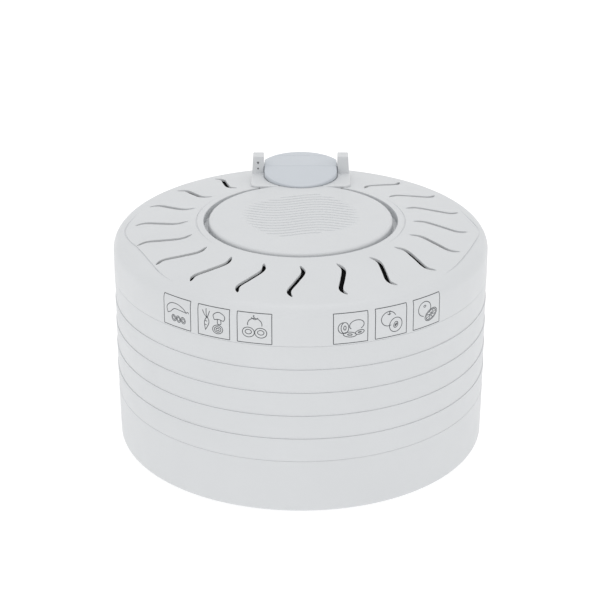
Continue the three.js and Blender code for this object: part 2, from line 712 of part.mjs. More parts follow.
const fan = assembly("fan_group");
piece(fan, "fan_impeller", fanImpeller(), FINISH.dark);
piece(fan, "motor_shaft", drum(SHAFT_R, HEAD_Z + FAN.bottomH - 3, HEAD_Z + MOTOR.topH + 2, 24), FINISH.steel);
piece(fan, "motor_rotor", motorRotor(), FINISH.iron);
piece(fan, "fan_nut", fanNut(), FINISH.steel);

export default dehydrator;
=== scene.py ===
"""A round stacking food dehydrator: its looks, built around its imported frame.

Sizes in the classes are millimetres, and become metres where a mesh is made. +Z is up, -Y is the front,
and the origin is on the machine's axis at table level.
"""

import logging
import math
from dataclasses import dataclass, field
from enum import Enum
from functools import cached_property
from typing import Callable, Iterable, Sequence

import bmesh
import bpy
from mathutils import Matrix, Vector


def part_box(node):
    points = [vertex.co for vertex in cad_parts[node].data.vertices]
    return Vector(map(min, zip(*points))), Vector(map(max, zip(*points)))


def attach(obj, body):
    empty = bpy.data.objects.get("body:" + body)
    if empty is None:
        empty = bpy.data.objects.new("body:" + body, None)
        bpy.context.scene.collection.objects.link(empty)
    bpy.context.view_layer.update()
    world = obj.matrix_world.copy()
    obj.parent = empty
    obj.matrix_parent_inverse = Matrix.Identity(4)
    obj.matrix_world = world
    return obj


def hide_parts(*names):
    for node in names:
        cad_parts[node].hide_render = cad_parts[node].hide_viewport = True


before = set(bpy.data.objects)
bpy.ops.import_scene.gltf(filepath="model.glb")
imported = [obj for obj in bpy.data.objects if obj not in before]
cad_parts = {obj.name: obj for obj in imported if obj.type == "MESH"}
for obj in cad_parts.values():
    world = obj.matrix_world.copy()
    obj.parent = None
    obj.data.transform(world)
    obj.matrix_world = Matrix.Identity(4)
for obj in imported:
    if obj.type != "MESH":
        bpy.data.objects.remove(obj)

LOG = logging.getLogger("dehydrator")
MM = 0.001
FULL_TURN = 2 * math.pi
SHARP_ANGLE = math.radians(38)
MERGE_DISTANCE = 1e-6
LOWEST = -1000.0  # below everything, in millimetres
HAIR = 0.05  # a gap too fine to see, in millimetres

Point2 = tuple[float, float]
BMesh = bmesh.types.BMesh
Socket = bpy.types.NodeSocket
Feed = bpy.types.NodeSocket | bpy.types.Node


# ---------------------------------------------------------------- colours and nodes
def linear(hex_colour: str) -> tuple[float, float, float, float]:
    """Turns an sRGB hex colour into linear RGBA.

    Args:
        hex_colour: "#rrggbb".

    Returns:
        Red, green, blue and an alpha of one.
    """
    shares = [int(hex_colour[i : i + 2], 16) / 255 for i in (1, 3, 5)]
    red, green, blue = (c / 12.92 if c <= 0.04045 else ((c + 0.055) / 1.055) ** 2.4 for c in shares)
    return (red, green, blue, 1.0)


def add_node(
    tree: bpy.types.NodeTree,
    kind: str,
    settings: dict[str | int, object] | None = None,
    links: dict[str | int, Feed | None] | None = None,
) -> bpy.types.Node:
    """Adds one shader node with its settings and links.

    Args:
        tree: the material's node tree.
        kind: the node's type name.
        settings: properties by name, and input values by name or number.
        links: what feeds each input, by name or number: a socket, a node's first output, or None.

    Returns:
        The new node.
    """
    node = tree.nodes.new(kind)
    for name, value in (settings or {}).items():
        if isinstance(name, str) and hasattr(node, name):
            setattr(node, name, value)
        else:
            node.inputs[name].default_value = value
    for name, feed in (links or {}).items():
        if feed is not None:
            tree.links.new(feed.outputs[0] if isinstance(feed, bpy.types.Node) else feed, node.inputs[name])
    return node


def per_metre(size_mm: float) -> float:
    """Scale of a pattern whose parts measure size_mm, on coordinates in metres."""
    return 1 / (size_mm * MM)


# ---------------------------------------------------------------- finishes
NOISE = "ShaderNodeTexNoise"
WAVE = "ShaderNodeTexWave"
STRETCH = "ShaderNodeMapRange"
BUMP = "ShaderNodeBump"
MIDDLE = {"From Min": 0.3, "From Max": 0.7}  # a noise seldom leaves this range
COLOUR_A, COLOUR_B, COLOUR_OUT = 6, 7, 2  # colour sockets of a Mix node


@dataclass
class Pattern:
    """What a finish's pattern gives its surface."""

    tone: Feed  # 0 at the finish's first colour and 1 at its second
    height: Feed  # 0..1 relief
    rough: Feed | None = None
    under: Feed | None = None  # a wider relief beneath this one


@dataclass(frozen=True)
class Finish:
    """A real material with its surface treatment."""

    name: str
    slot: str
    colour: str
    roughness: float
    second: str = "#ffffff"  # the colour that the pattern brings in
    depth_mm: float = 0.05  # depth of the pattern's relief
    extra: tuple[tuple[str, float], ...] = ()  # further settings of the shader

    def material(self) -> bpy.types.Material:
        """Makes the material on first use.

        Returns:
            The material.
        """
        found = bpy.data.materials.get(self.name)
        if found:
            return found
        material = bpy.data.materials.new(self.name)
        material.use_nodes = True
        tree = material.node_tree
        tree.nodes.clear()
        pattern = self.pattern(tree, add_node(tree, "ShaderNodeTexCoord").outputs["Object"])
        ends = {"data_type": "RGBA", COLOUR_A: linear(self.colour), COLOUR_B: linear(self.second)}
        tint = add_node(tree, "ShaderNodeMix", ends, {0: pattern.tone}).outputs[COLOUR_OUT]
        depth = {"Strength": 1.0, "Distance": self.depth_mm * MM}
        relief = add_node(tree, BUMP, depth, {"Height": pattern.height, "Normal": pattern.under})
        own = {"Roughness": self.roughness, **dict(self.extra)}
        links = {"Base Color": tint, "Roughness": pattern.rough, "Normal": relief}
        shader = add_node(tree, "ShaderNodeBsdfPrincipled", own, links)
        add_node(tree, "ShaderNodeOutputMaterial", links={"Surface": shader})
        return material

    def pattern(self, tree: bpy.types.NodeTree, place: Socket) -> Pattern:
        """Builds the finish's own pattern; each kind of finish has its own.

        Args:
            tree: the material's node tree.
            place: object coordinates in metres.

        Returns:
            What the pattern gives the surface.
        """
        raise NotImplementedError(self.name)


@dataclass(frozen=True)
class MouldedPlastic(Finish):
    """Injection-moulded ABS or polypropylene from a lightly eroded mould.

    It gives the eye an even satin body with a soft, wide gloss, a very fine grain that breaks up the
    highlight, and faint clouds of tone where the melt flowed.
    """

    second: str = "#d0d2d4"
    depth_mm: float = 0.006
    grain_mm: float = 0.9  # real grain is about 0.1 mm; drawn coarser so that it shows
    cloud_mm: float = 70.0
    patch_mm: float = 17.5
    sink_mm: float = 0.08
    swing: float = 0.04

    def pattern(self, tree: bpy.types.NodeTree, place: Socket) -> Pattern:
        """Adds clouds, patches of gloss, broad sink marks and a fine grain.

        Args:
            tree: the material's node tree.
            place: object coordinates in metres.

        Returns:
            What the pattern gives the surface.
        """
        cloud, patch, grain = (
            add_node(tree, NOISE, {"Scale": per_metre(size)}, {"Vector": place})
            for size in (self.cloud_mm, self.patch_mm, self.grain_mm)
        )
        tone = add_node(tree, STRETCH, MIDDLE, {"Value": cloud})
        gloss = {"To Min": self.roughness - self.swing, "To Max": self.roughness + self.swing}
        rough = add_node(tree, STRETCH, {**MIDDLE, **gloss}, {"Value": patch})
        sink = add_node(tree, BUMP, {"Distance": self.sink_mm * MM}, {"Height": cloud})
        return Pattern(tone, grain, rough, sink)


@dataclass(frozen=True)
class Speckled(Finish):
    """A dull surface with blotches of a second tone and fine pits.

    As moulded nitrile rubber it gives the eye a matt black with pale dust in its pores, as unglazed
    steatite a chalky cream with faint brown heat marks, and as pad-printed ink a dry grey with pinholes.
    """

    blotch_mm: float = 8.0
    detail: float = 4.0
    most: float = 0.6  # how far the second tone comes through
    pit_mm: float = 1.0

    def pattern(self, tree: bpy.types.NodeTree, place: Socket) -> Pattern:
        """Adds blotches and pits.

        Args:
            tree: the material's node tree.
            place: object coordinates in metres.

        Returns:
            What the pattern gives the surface.
        """
        blotch = {"Scale": per_metre(self.blotch_mm), "Detail": self.detail}
        blotches = add_node(tree, NOISE, blotch, {"Vector": place})
        pits = add_node(tree, NOISE, {"Scale": per_metre(self.pit_mm)}, {"Vector": place})
        return Pattern(add_node(tree, STRETCH, {**MIDDLE, "To Max": self.most}, {"Value": blotches}), pits)


class Grain(Enum):
    """Which way a metal was worked, and the wave that draws it."""

    TURNED = {"wave_type": "RINGS", "rings_direction": "Z"}
    ROLLED = {"wave_type": "BANDS", "bands_direction": "Y"}


@dataclass(frozen=True)
class WorkedMetal(Finish):
    """Plated, rolled or turned metal.

    It gives the eye a bright body, fine tool lines that stretch the highlight, and a slight bloom of
    tarnish or oil in patches.
    """

    second: str = "#8e9194"
    depth_mm: float = 0.01
    extra: tuple[tuple[str, float], ...] = (("Metallic", 1.0),)
    line_mm: float = 0.6
    bloom_mm: float = 14.0
    wander: float = 0.6  # how far the tool lines stray
    shine: Point2 = (0.05, 0.12)  # how much less and more rough the bloom makes it
    grain: Grain = Grain.ROLLED

    def pattern(self, tree: bpy.types.NodeTree, place: Socket) -> Pattern:
        """Adds tool lines and a bloom of tarnish that is also duller.

        Args:
            tree: the material's node tree.
            place: object coordinates in metres.

        Returns:
            What the pattern gives the surface.
        """
        worn = {"Scale": per_metre(self.line_mm * FULL_TURN), "Distortion": self.wander, "Detail": 3.0}
        lines = add_node(tree, WAVE, {**self.grain.value, **worn}, {"Vector": place})
        patches = add_node(tree, NOISE, {"Scale": per_metre(self.bloom_mm), "Detail": 4.0}, {"Vector": place})
        bloom = add_node(tree, STRETCH, MIDDLE, {"Value": patches})
        dull = {"To Min": self.roughness - self.shine[0], "To Max": self.roughness + self.shine[1]}
        rough = add_node(tree, STRETCH, {**MIDDLE, **dull}, {"Value": bloom})
        return Pattern(bloom, lines.outputs["Fac"], rough)


@dataclass(frozen=True)
class Layered(Finish):
    """Metal in level layers: varnished steel sheets, or enamelled copper wire wound in turns.

    The sheets give the eye fine level lines with brown edges, the wire glossy amber threads with dark
    valleys between them; the valleys' dark colour is painted shade.
    """

    layer_mm: float = 0.9
    wander: float = 0.0

    def pattern(self, tree: bpy.types.NodeTree, place: Socket) -> Pattern:
        """Adds the level lines.

        Args:
            tree: the material's node tree.
            place: object coordinates in metres.

        Returns:
            What the pattern gives the surface.
        """
        scale = per_metre(self.layer_mm * FULL_TURN)
        level = {"bands_direction": "Z", "Scale": scale, "Distortion": self.wander}
        layers = add_node(tree, WAVE, level, {"Vector": place}).outputs["Fac"]
        return Pattern(layers, layers)


@dataclass(frozen=True)
class FilterCloth(Finish):
    """Woven nylon filter: a fine square weave, coloured near-black as painted shade so that the vents above
    it read dark.
    """

    mesh_mm: float = 1.6  # real mesh is about 0.3 mm; drawn coarser so that it shows

    def pattern(self, tree: bpy.types.NodeTree, place: Socket) -> Pattern:
        """Adds the weave.

        Args:
            tree: the material's node tree.
            place: object coordinates in metres.

        Returns:
            What the pattern gives the surface.
        """
        scale = per_metre(self.mesh_mm * FULL_TURN)
        warp, weft = (
            add_node(tree, WAVE, {"Scale": scale, "bands_direction": along}, {"Vector": place}).outputs["Fac"]
            for along in "XY"
        )
        weave = add_node(tree, "ShaderNodeMath", {"operation": "MULTIPLY"}, {0: warp, 1: weft})
        return Pattern(weave, weave)


SHELL = MouldedPlastic("satin_white_abs", "shell", "#d2d4d6", 0.42)
TRAY = MouldedPlastic("satin_white_polypropylene", "tray", "#d2d4d6", 0.45)
PADDLE = MouldedPlastic("satin_blue_grey_abs", "rocker", "#c5cad0", 0.38, second="#c3c8ce")
BLACK_NYLON = MouldedPlastic("black_glass_filled_nylon", "dark", "#2b2c2e", 0.55, second="#323335")
LEAD = MouldedPlastic("grey_silicone_sleeve", "wire", "#8a8d92", 0.55, second="#7f8287")
RUBBER = Speckled(
    "black_nitrile_rubber", "rubber", "#2c2c2e", 0.85, second="#55565a", depth_mm=0.03,
    extra=(("Specular IOR Level", 0.25),), blotch_mm=9.0, detail=5.0, pit_mm=1.2
)
CERAMIC = Speckled(
    "unglazed_steatite", "ceramic", "#e8e2d4", 0.8, second="#b9a88c", blotch_mm=7.0, most=0.8, pit_mm=0.7
)
INK = Speckled(
    "pad_printed_grey_ink", "dark", "#3f4246", 0.7, second="#565a5e", depth_mm=0.005,
    blotch_mm=0.8, detail=2.0, most=0.5, pit_mm=0.8
)
# Black nylon filter cloth; its near-black colour is painted shade, darkening the view into the vent slots.
VENT_SHADE_FILTER = FilterCloth(
    "filter_cloth_painted_vent_shade", "dark", "#050505", 0.95, second="#17181a", depth_mm=0.15,
    extra=(("Specular IOR Level", 0.1),)
)
ZINC = WorkedMetal("zinc_plated_steel", "steel", "#c3c6ca", 0.34)
GROUND_STEEL = WorkedMetal("ground_steel", "steel", "#c8cacd", 0.22, grain=Grain.TURNED, line_mm=0.4)
HEATER_SHEATH = WorkedMetal("oxidised_nickel_sheath", "heater", "#6f6a66", 0.5, second="#4a3f3a")
BRONZE = WorkedMetal("sintered_bronze", "bronze", "#b08d52", 0.45, second="#7f6236", grain=Grain.TURNED)
CORE = Layered(
    "varnished_silicon_steel", "iron", "#3d332c", 0.45, second="#8b8d91", depth_mm=0.08,
    extra=(("Metallic", 0.8),)  # real sheets are 0.5 mm; drawn coarser so that they show
)
# Dark brown first colour: painted shade in the valleys between the wire's turns.
COPPER = Layered(
    "enamelled_copper_wire", "copper", "#5a2a12", 0.3, second="#c9783c", depth_mm=0.2,
    extra=(("Metallic", 0.9), ("Coat Weight", 0.5)), layer_mm=0.8, wander=0.8
)


# ---------------------------------------------------------------- outlines
@dataclass(frozen=True)
class Corner:
    """A corner of an outline, with the radius that rounds it."""

    x: float
    y: float
    radius: float = 0.0


def rounded(corners: Sequence[Corner], closed: bool = True, step_deg: float = 9.0) -> list[Point2]:
    """Rounds an outline's corners with true arcs.

    Args:
        corners: the outline's corners in order.
        closed: whether the last corner joins the first.
        step_deg: arc covered by one short edge.

    Returns:
        The outline's points.
    """
    points: list[Point2] = []
    last = len(corners) - 1
    for i, corner in enumerate(corners):
        at = Vector((corner.x, corner.y))
        if corner.radius == 0 or (not closed and i in (0, last)):
            points.append((at.x, at.y))
            continue
        before, after = corners[i - 1], corners[(i + 1) % len(corners)]
        to_before = (Vector((before.x, before.y)) - at).normalized()
        to_after = (Vector((after.x, after.y)) - at).normalized()
        half = to_before.angle(to_after) / 2
        centre = at + (to_before + to_after).normalized() * corner.radius / math.sin(half)
        reach = corner.radius / math.tan(half)
        first, final = at + to_before * reach - centre, at + to_after * reach - centre
        steps = max(3, math.ceil(math.degrees(math.pi - 2 * half) / step_deg))
        for k in range(steps + 1):
            arm = first.slerp(final, k / steps).normalized() * corner.radius
            points.append((centre.x + arm.x, centre.y + arm.y))
    return points


def arc(centre: Point2, radius: float, start_deg: float, end_deg: float, steps: int = 24) -> list[Point2]:
    """Points of an arc, both ends included."""
    turns = (math.radians(start_deg + (end_deg - start_deg) * i / steps) for i in range(steps + 1))
    return [(centre[0] + radius * math.cos(a), centre[1] + radius * math.sin(a)) for a in turns]


def smooth_line(knots: Sequence[Sequence[float]], steps: int) -> list[Vector]:
    """A smooth curve through knots.

    Args:
        knots: points to pass through, of two or three numbers.
        steps: points made for each stretch between two knots.

    Returns:
        The curve's points, both ends included.
    """
    at = [Vector(k) for k in knots]
    ends = [2 * at[0] - at[1], *at, 2 * at[-1] - at[-2]]
    points = []
    for before, start, stop, after in zip(ends, ends[1:], ends[2:], ends[3:]):
        for i in range(steps):
            t = i / steps
            pull = (stop - before) * t + (2 * before - 5 * start + 4 * stop - after) * t**2
            push = (3 * start - before - 3 * stop + after) * t**3
            points.append(start + (pull + push) / 2)
    return [*points, at[-1]]


def fading(share: float, ramp: float) -> float:
    """Strength of a line that fades in and out: 0 at shares 0 and 1, full beyond a ramp at each end."""
    return min(1.0, share / ramp, (1 - share) / ramp)


# ---------------------------------------------------------------- solids
def drafted(bm: BMesh) -> bpy.types.Mesh:
    """Writes a working mesh out as a draft, and frees it.

    Args:
        bm: the working mesh.

    Returns:
        The draft.
    """
    draft = bpy.data.meshes.new("draft")
    bm.to_mesh(draft)
    bm.free()
    return draft


def placed(name: str, data: bpy.types.ID) -> bpy.types.Object:
    """Puts an object into the scene at the origin.

    Args:
        name: the object's name.
        data: its mesh, curve, light or camera.

    Returns:
        The object.
    """
    thing = bpy.data.objects.new(name, data)
    bpy.context.scene.collection.objects.link(thing)
    return thing


def spin_round(bm: BMesh, outline: list[bmesh.types.BMVert | bmesh.types.BMEdge], steps: int) -> None:
    """Spins an outline a full turn about Z and closes it.

    Args:
        bm: the mesh that holds the outline.
        outline: its vertices and edges.
        steps: faces round the full turn.
    """
    axis = {"cent": (0, 0, 0), "axis": (0, 0, 1)}
    bmesh.ops.spin(bm, geom=outline, **axis, angle=FULL_TURN, steps=steps, use_merge=True)
    bmesh.ops.remove_doubles(bm, verts=bm.verts, dist=MERGE_DISTANCE)


def raise_faces(bm: BMesh, faces: list[bmesh.types.BMFace], height: float) -> None:
    """Extrudes faces upwards into a solid.

    Args:
        bm: the mesh, changed in place.
        faces: the faces at the bottom.
        height: how far they rise, in millimetres.
    """
    raised = bmesh.ops.extrude_face_region(bm, geom=faces)["geom"]
    lifted = [v for v in raised if isinstance(v, bmesh.types.BMVert)]
    bmesh.ops.translate(bm, verts=lifted, vec=(0, 0, height * MM))


def spun(profile: Sequence[Point2], steps: int, closed: bool = True) -> BMesh:
    """Spins an outline of (radius, height) about Z.

    Args:
        profile: the outline in millimetres.
        steps: faces round the full turn.
        closed: False when the outline starts and ends on the axis.

    Returns:
        The solid, in metres.
    """
    bm = bmesh.new()
    verts = [bm.verts.new((r * MM, 0, z * MM)) for r, z in profile]
    pairs = zip(verts, verts[1:] + verts[:1] if closed else verts[1:])
    spin_round(bm, [*verts, *(bm.edges.new(pair) for pair in pairs)], steps)
    bmesh.ops.recalc_face_normals(bm, faces=bm.faces)
    return bm


def upright(outline: Sequence[Point2], z0: float, z1: float) -> BMesh:
    """Raises a plan outline into a prism between two heights.

    Args:
        outline: (x, y) points in millimetres.
        z0: lower height.
        z1: upper height.

    Returns:
        The solid, in metres.
    """
    bm = bmesh.new()
    floor = bm.faces.new([bm.verts.new((x * MM, y * MM, z0 * MM)) for x, y in outline])
    raise_faces(bm, [floor], z1 - z0)
    bmesh.ops.recalc_face_normals(bm, faces=bm.faces)
    return bm


def block(size: Sequence[float], centre: Sequence[float]) -> BMesh:
    """Makes a block.

    Args:
        size: its three sides in millimetres.
        centre: its middle in millimetres.

    Returns:
        The block, in metres.
    """
    bm = bmesh.new()
    bmesh.ops.create_cube(bm, size=1.0)
    bmesh.ops.scale(bm, verts=bm.verts, vec=Vector(size) * MM)
    bmesh.ops.translate(bm, verts=bm.verts, vec=Vector(centre) * MM)
    return bm


def softened(bm: BMesh, radius: float, segments: int = 3, above_z: float = LOWEST) -> BMesh:
    """Rounds a solid's sharp edges.

    Args:
        bm: the solid, changed in place.
        radius: rounding in millimetres.
        segments: faces across the rounding.
        above_z: only edges wholly at or above this height, in millimetres, are rounded.

    Returns:
        The same solid.
    """
    low = above_z * MM - MERGE_DISTANCE
    high_edges = [e for e in bm.edges if min(v.co.z for v in e.verts) >= low]
    sharp = [e for e in high_edges if len(e.link_faces) == 2 and e.calc_face_angle(0) > SHARP_ANGLE]
    rounding = {"offset": radius * MM, "offset_type": "OFFSET", "segments": segments, "clamp_overlap": True}
    bmesh.ops.bevel(bm, geom=sharp, affect="EDGES", profile=0.5, material=-1, **rounding)
    return bm


def joined(parts: Iterable[BMesh]) -> BMesh:
    """Gathers several meshes into one without merging them, and frees them.

    Args:
        parts: the meshes.

    Returns:
        All of them as one mesh.
    """
    whole = bmesh.new()
    for part in parts:
        draft = drafted(part)
        whole.from_mesh(draft)
        bpy.data.meshes.remove(draft)
    return whole


def turned_copies(bm: BMesh, angles_deg: Iterable[float]) -> BMesh:
    """Copies a mesh round the Z axis, and frees the first.

    Args:
        bm: the mesh in its first place.
        angles_deg: where each copy goes.

    Returns:
        All the copies as one mesh.
    """
    draft = drafted(bm)
    whole = bmesh.new()
    for angle in angles_deg:
        copy = draft.copy()
        copy.transform(Matrix.Rotation(math.radians(angle), 4, "Z"))
        whole.from_mesh(copy)
        bpy.data.meshes.remove(copy)
    bpy.data.meshes.remove(draft)
    return whole


def moved(bm: BMesh, x: float = 0.0, y: float = 0.0, z: float = 0.0) -> BMesh:
    """Moves a mesh by millimetres and returns it."""
    bmesh.ops.translate(bm, verts=bm.verts, vec=Vector((x, y, z)) * MM)
    return bm


def tube(points: Sequence[Sequence[float]], radius: float, sides: int = 3) -> BMesh:
    """A round bar along points.

    Args:
        points: its centre line in millimetres.
        radius: in millimetres.
        sides: the bevel resolution; the bar has 2 * sides + 4 sides.

    Returns:
        The closed bar, in metres.
    """
    curve = bpy.data.curves.new("draft", "CURVE")
    curve.dimensions = "3D"
    curve.bevel_depth = radius * MM
    curve.bevel_resolution = sides
    curve.use_fill_caps = True
    spline = curve.splines.new("POLY")
    spline.points.add(len(points) - 1)
    for knot, point in zip(spline.points, points):
        knot.co = (*(Vector(point) * MM), 1)
    holder = placed("draft", curve)
    bar = bmesh.new()
    bar.from_mesh(holder.evaluated_get(bpy.context.evaluated_depsgraph_get()).to_mesh())
    bpy.data.objects.remove(holder)
    bpy.data.curves.remove(curve)
    bmesh.ops.remove_doubles(bar, verts=bar.verts, dist=MERGE_DISTANCE)
    bmesh.ops.recalc_face_normals(bar, faces=bar.faces)
    return bar


class Cut(Enum):
    """How two solids are combined."""

    AWAY = "DIFFERENCE"
    WITH = "UNION"


def combined(body: BMesh, tool: BMesh, how: Cut) -> BMesh:
    """Cuts or joins two closed solids, and frees both.

    Args:
        body: the solid that stays.
        tool: the solid that works on it.
        how: the operation.

    Returns:
        The result.
    """
    holders = [placed("draft", drafted(bm)) for bm in (body, tool)]
    work = holders[0].modifiers.new("work", "BOOLEAN")
    work.object = holders[1]
    work.operation = how.value
    work.solver = "EXACT"
    result = bmesh.new()
    result.from_object(holders[0], bpy.context.evaluated_depsgraph_get())
    for holder in holders:
        mesh = holder.data
        bpy.data.objects.remove(holder)
        bpy.data.meshes.remove(mesh)
    return result


def make_piece(
    name: str,
    bm: BMesh,
    body: str,
    finish: Finish,
    replaced: Sequence[str] = (),
) -> bpy.types.Object:
    """Turns a mesh into a piece of the machine, dressed and riding on its body.

    Args:
        name: the piece's name.
        bm: its mesh in metres, freed here.
        body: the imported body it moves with.
        finish: its material.
        replaced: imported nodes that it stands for.

    Returns:
        The new object.
    """
    mesh = bpy.data.meshes.new(name)
    bm.to_mesh(mesh)
    bm.free()
    mesh.materials.clear()
    mesh.materials.append(finish.material())
    for polygon in mesh.polygons:
        polygon.use_smooth = True
        polygon.material_index = 0
    mesh.set_sharp_from_angle(angle=SHARP_ANGLE)
    piece = placed(name, mesh)
    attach(piece, body)
    if replaced:
        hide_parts(*replaced)
    LOG.info("%s: %d faces on %s", name, len(mesh.polygons), body)
    return piece


def height_of(node: str, top: bool) -> float:
    """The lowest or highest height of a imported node, in millimetres."""
    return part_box(node)[1 if top else 0].z / MM


# ---------------------------------------------------------------- shared sizes
@dataclass(frozen=True)
class Stack:
    """Sizes that neighbouring rings share."""

    radius: float = 195.0  # widest radius
    seam_gap: float = 0.08
    steps: int = 240  # faces round a large moulding
    frame_gap: float = 0.15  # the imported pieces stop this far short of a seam

    def seam(self, index: int) -> float:
        """Height of the seam under tray index + 1; index 5 is the head's seam."""
        node = f"tray_{index}" if index else "base_bowl"
        return height_of(node, top=True) + self.frame_gap


STACK = Stack()
TRAY_COUNT = 5


# ---------------------------------------------------------------- base
@dataclass
class Base:
    """The deep bowl that everything stands on, with its four feet."""

    draft: float = 1.0
    wall: float = 3.0
    rim_inset: float = 0.5
    skirt_round: float = 5.5
    floor_z: float = 4.0
    foot_r: float = 11.0
    foot_steps: int = 40
    recess: Point2 = (9.0, 7.0)  # how far in from the skirt the underside steps up
    edge: float = 0.8
    rim_edge: float = 0.9
    hollow: float = 8.0  # rounding between wall and floor inside
    ridge_radii: tuple[float, ...] = (40.0, 70.0, 100.0, 130.0, 160.0)
    ridge_half: float = 1.5
    ridge_h: float = 1.2
    tread: Point2 = (5.0, 4.4)  # how far in from a foot's side its tread steps up

    def build(self) -> None:
        """Builds and dresses the base."""
        make_piece("base_shell", self.bowl(), "base", SHELL, ["base_bowl"])
        for i in range(4):
            make_piece(f"rubber_foot_{i + 1}", self.foot(i), "base", RUBBER, [f"foot_{i + 1}"])

    def bowl(self) -> BMesh:
        """Makes the bowl with drip ridges on its floor.

        Returns:
            The bowl.
        """
        low_z = height_of("base_bowl", top=False)
        top = STACK.seam(0) - STACK.seam_gap / 2
        outer = STACK.radius - self.rim_inset
        low = outer - self.draft
        inside = self.floor_z + self.wall
        ridges = []
        for r in reversed(self.ridge_radii):
            peak = Corner(r, inside + self.ridge_h, self.ridge_h / 2)
            ridges += [Corner(r + self.ridge_half, inside), peak, Corner(r - self.ridge_half, inside)]
        corners = [
            Corner(0, self.floor_z),
            Corner(low - self.recess[0], self.floor_z, self.edge),
            Corner(low - self.recess[1], low_z, self.edge),
            Corner(low, low_z, self.skirt_round),
            Corner(outer, top, self.rim_edge),
            Corner(outer - self.wall, top, self.rim_edge),
            Corner(low - self.wall - self.draft, inside, self.hollow),
            *ridges,
            Corner(0, inside),
        ]
        return spun(rounded(corners, closed=False), STACK.steps, closed=False)

    def foot(self, index: int) -> BMesh:
        """Makes one foot with a recessed tread.

        Args:
            index: 0 to 3.

        Returns:
            The foot, in its place.
        """
        high = self.floor_z - HAIR
        profile = [
            Corner(0, self.edge),
            Corner(self.foot_r - self.tread[0], self.edge, 0.3),
            Corner(self.foot_r - self.tread[1], 0, 0.3),
            Corner(self.foot_r - self.draft, 0, self.edge),
            Corner(self.foot_r, high),
            Corner(0, high),
        ]
        foot = spun(rounded(profile, closed=False), self.foot_steps, closed=False)
        lo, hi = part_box(f"foot_{index + 1}")
        bmesh.ops.translate(foot, verts=foot.verts, vec=((lo.x + hi.x) / 2, (lo.y + hi.y) / 2, 0))
        return foot


# ---------------------------------------------------------------- trays
@dataclass
class DryingTray:
    """One nesting tray: a drafted wall, a spigot, and a moulded lattice deck."""

    index: int
    draft: float = 0.8
    wall: float = 2.2
    spigot_outer: float = 190.3
    spigot_inner: float = 188.3
    spigot_drop: float = 4.0
    lip: float = 0.8
    deck_lift: float = 2.0
    deck: float = 2.0
    deck_lap: float = 4.0
    seam_edge: Point2 = (0.25, 0.45)  # roundings under and over the seams
    hole_r: float = 45.0
    collar_r: float = 48.0
    collar_h: float = 6.0
    sectors: int = 60
    steps_per_sector: int = 6
    first_ring: float = 52.0
    ring_pitch: float = 9.0
    ring_bar: float = 2.0
    ring_count: int = 15
    extra_rib_from: float = 105.0  # outside this radius each slot has a rib in its middle

    def build(self) -> None:
        """Builds and dresses the tray."""
        name = f"drying_tray_{self.index}"
        parts = joined([self.rim(), self.lattice(), self.collar()])
        moved(parts, z=STACK.seam(self.index - 1))
        make_piece(name, parts, f"tray_{self.index}", TRAY, [f"tray_{self.index}"])

    def rim(self) -> BMesh:
        """Makes the wall and spigot, with the seam under it at height zero.

        Returns:
            The ring.
        """
        low = STACK.seam_gap / 2
        top = STACK.seam(self.index) - STACK.seam(self.index - 1) - low
        deck_top = self.deck_lift + self.deck
        corners = [
            Corner(self.spigot_inner - self.deck_lap, self.deck_lift),
            Corner(self.spigot_inner, self.deck_lift, 0.3),
            Corner(self.spigot_inner, -self.spigot_drop, 0.4),
            Corner(self.spigot_outer, -self.spigot_drop, 0.8),
            Corner(self.spigot_outer, low),
            Corner(STACK.radius - self.draft, low, self.seam_edge[0]),
            Corner(STACK.radius, top, self.seam_edge[1]),
            Corner(STACK.radius - self.wall - self.lip, top, 0.9),
            Corner(self.spigot_outer, deck_top, 2.0),
            Corner(self.spigot_inner - self.deck_lap, deck_top),
        ]
        return spun(rounded(corners), STACK.steps)

    def collar(self) -> BMesh:
        """Makes the low collar round the air passage.

        Returns:
            The collar.
        """
        corners = [
            Corner(self.hole_r, self.deck_lift, 0.5),
            Corner(self.collar_r, self.deck_lift, 0.5),
            Corner(self.collar_r, self.deck_lift + self.collar_h, 0.8),
            Corner(self.hole_r, self.deck_lift + self.collar_h, 0.8),
        ]
        return spun(rounded(corners), STACK.steps // 2)

    def lattice(self) -> BMesh:
        """Makes the deck: rings and ribs with open cells between them.

        Returns:
            The deck.
        """
        radii = [self.collar_r - 1]
        for ring in range(self.ring_count):
            start = self.first_ring + ring * self.ring_pitch
            radii += [start, start + self.ring_pitch - self.ring_bar]
        radii.append(self.spigot_inner - 1)
        bm = bmesh.new()
        verts = [bm.verts.new((r * MM, 0, self.deck_lift * MM)) for r in radii]
        steps = self.sectors * self.steps_per_sector
        spin_round(bm, [*verts, *(bm.edges.new(pair) for pair in zip(verts, verts[1:]))], steps)
        cells = [f for f in bm.faces if self.is_open(f.calc_center_median(), steps)]
        bmesh.ops.delete(bm, geom=cells, context="FACES")
        for face in bm.faces:
            if face.normal.z > 0:
                face.normal_flip()
        bmesh.ops.solidify(bm, geom=bm.faces, thickness=self.deck * MM)
        bmesh.ops.recalc_face_normals(bm, faces=bm.faces)
        return bm

    def is_open(self, centre: Vector, steps: int) -> bool:
        """Whether the deck's cell at a centre is a hole.

        Args:
            centre: the cell's middle, in metres.
            steps: cells round the full turn.

        Returns:
            True for a hole.
        """
        radius = math.hypot(centre.x, centre.y) / MM
        along = (radius - self.first_ring) % self.ring_pitch
        on_ring = along > self.ring_pitch - self.ring_bar
        last_ring = self.first_ring + self.ring_count * self.ring_pitch - self.ring_bar
        inside = self.first_ring < radius < last_ring
        step = int((math.atan2(centre.y, centre.x) % FULL_TURN) / FULL_TURN * steps) % self.steps_per_sector
        half = self.steps_per_sector // 2
        on_rib = step == 0 or (radius > self.extra_rib_from and step == half)
        return inside and not on_ring and not on_rib


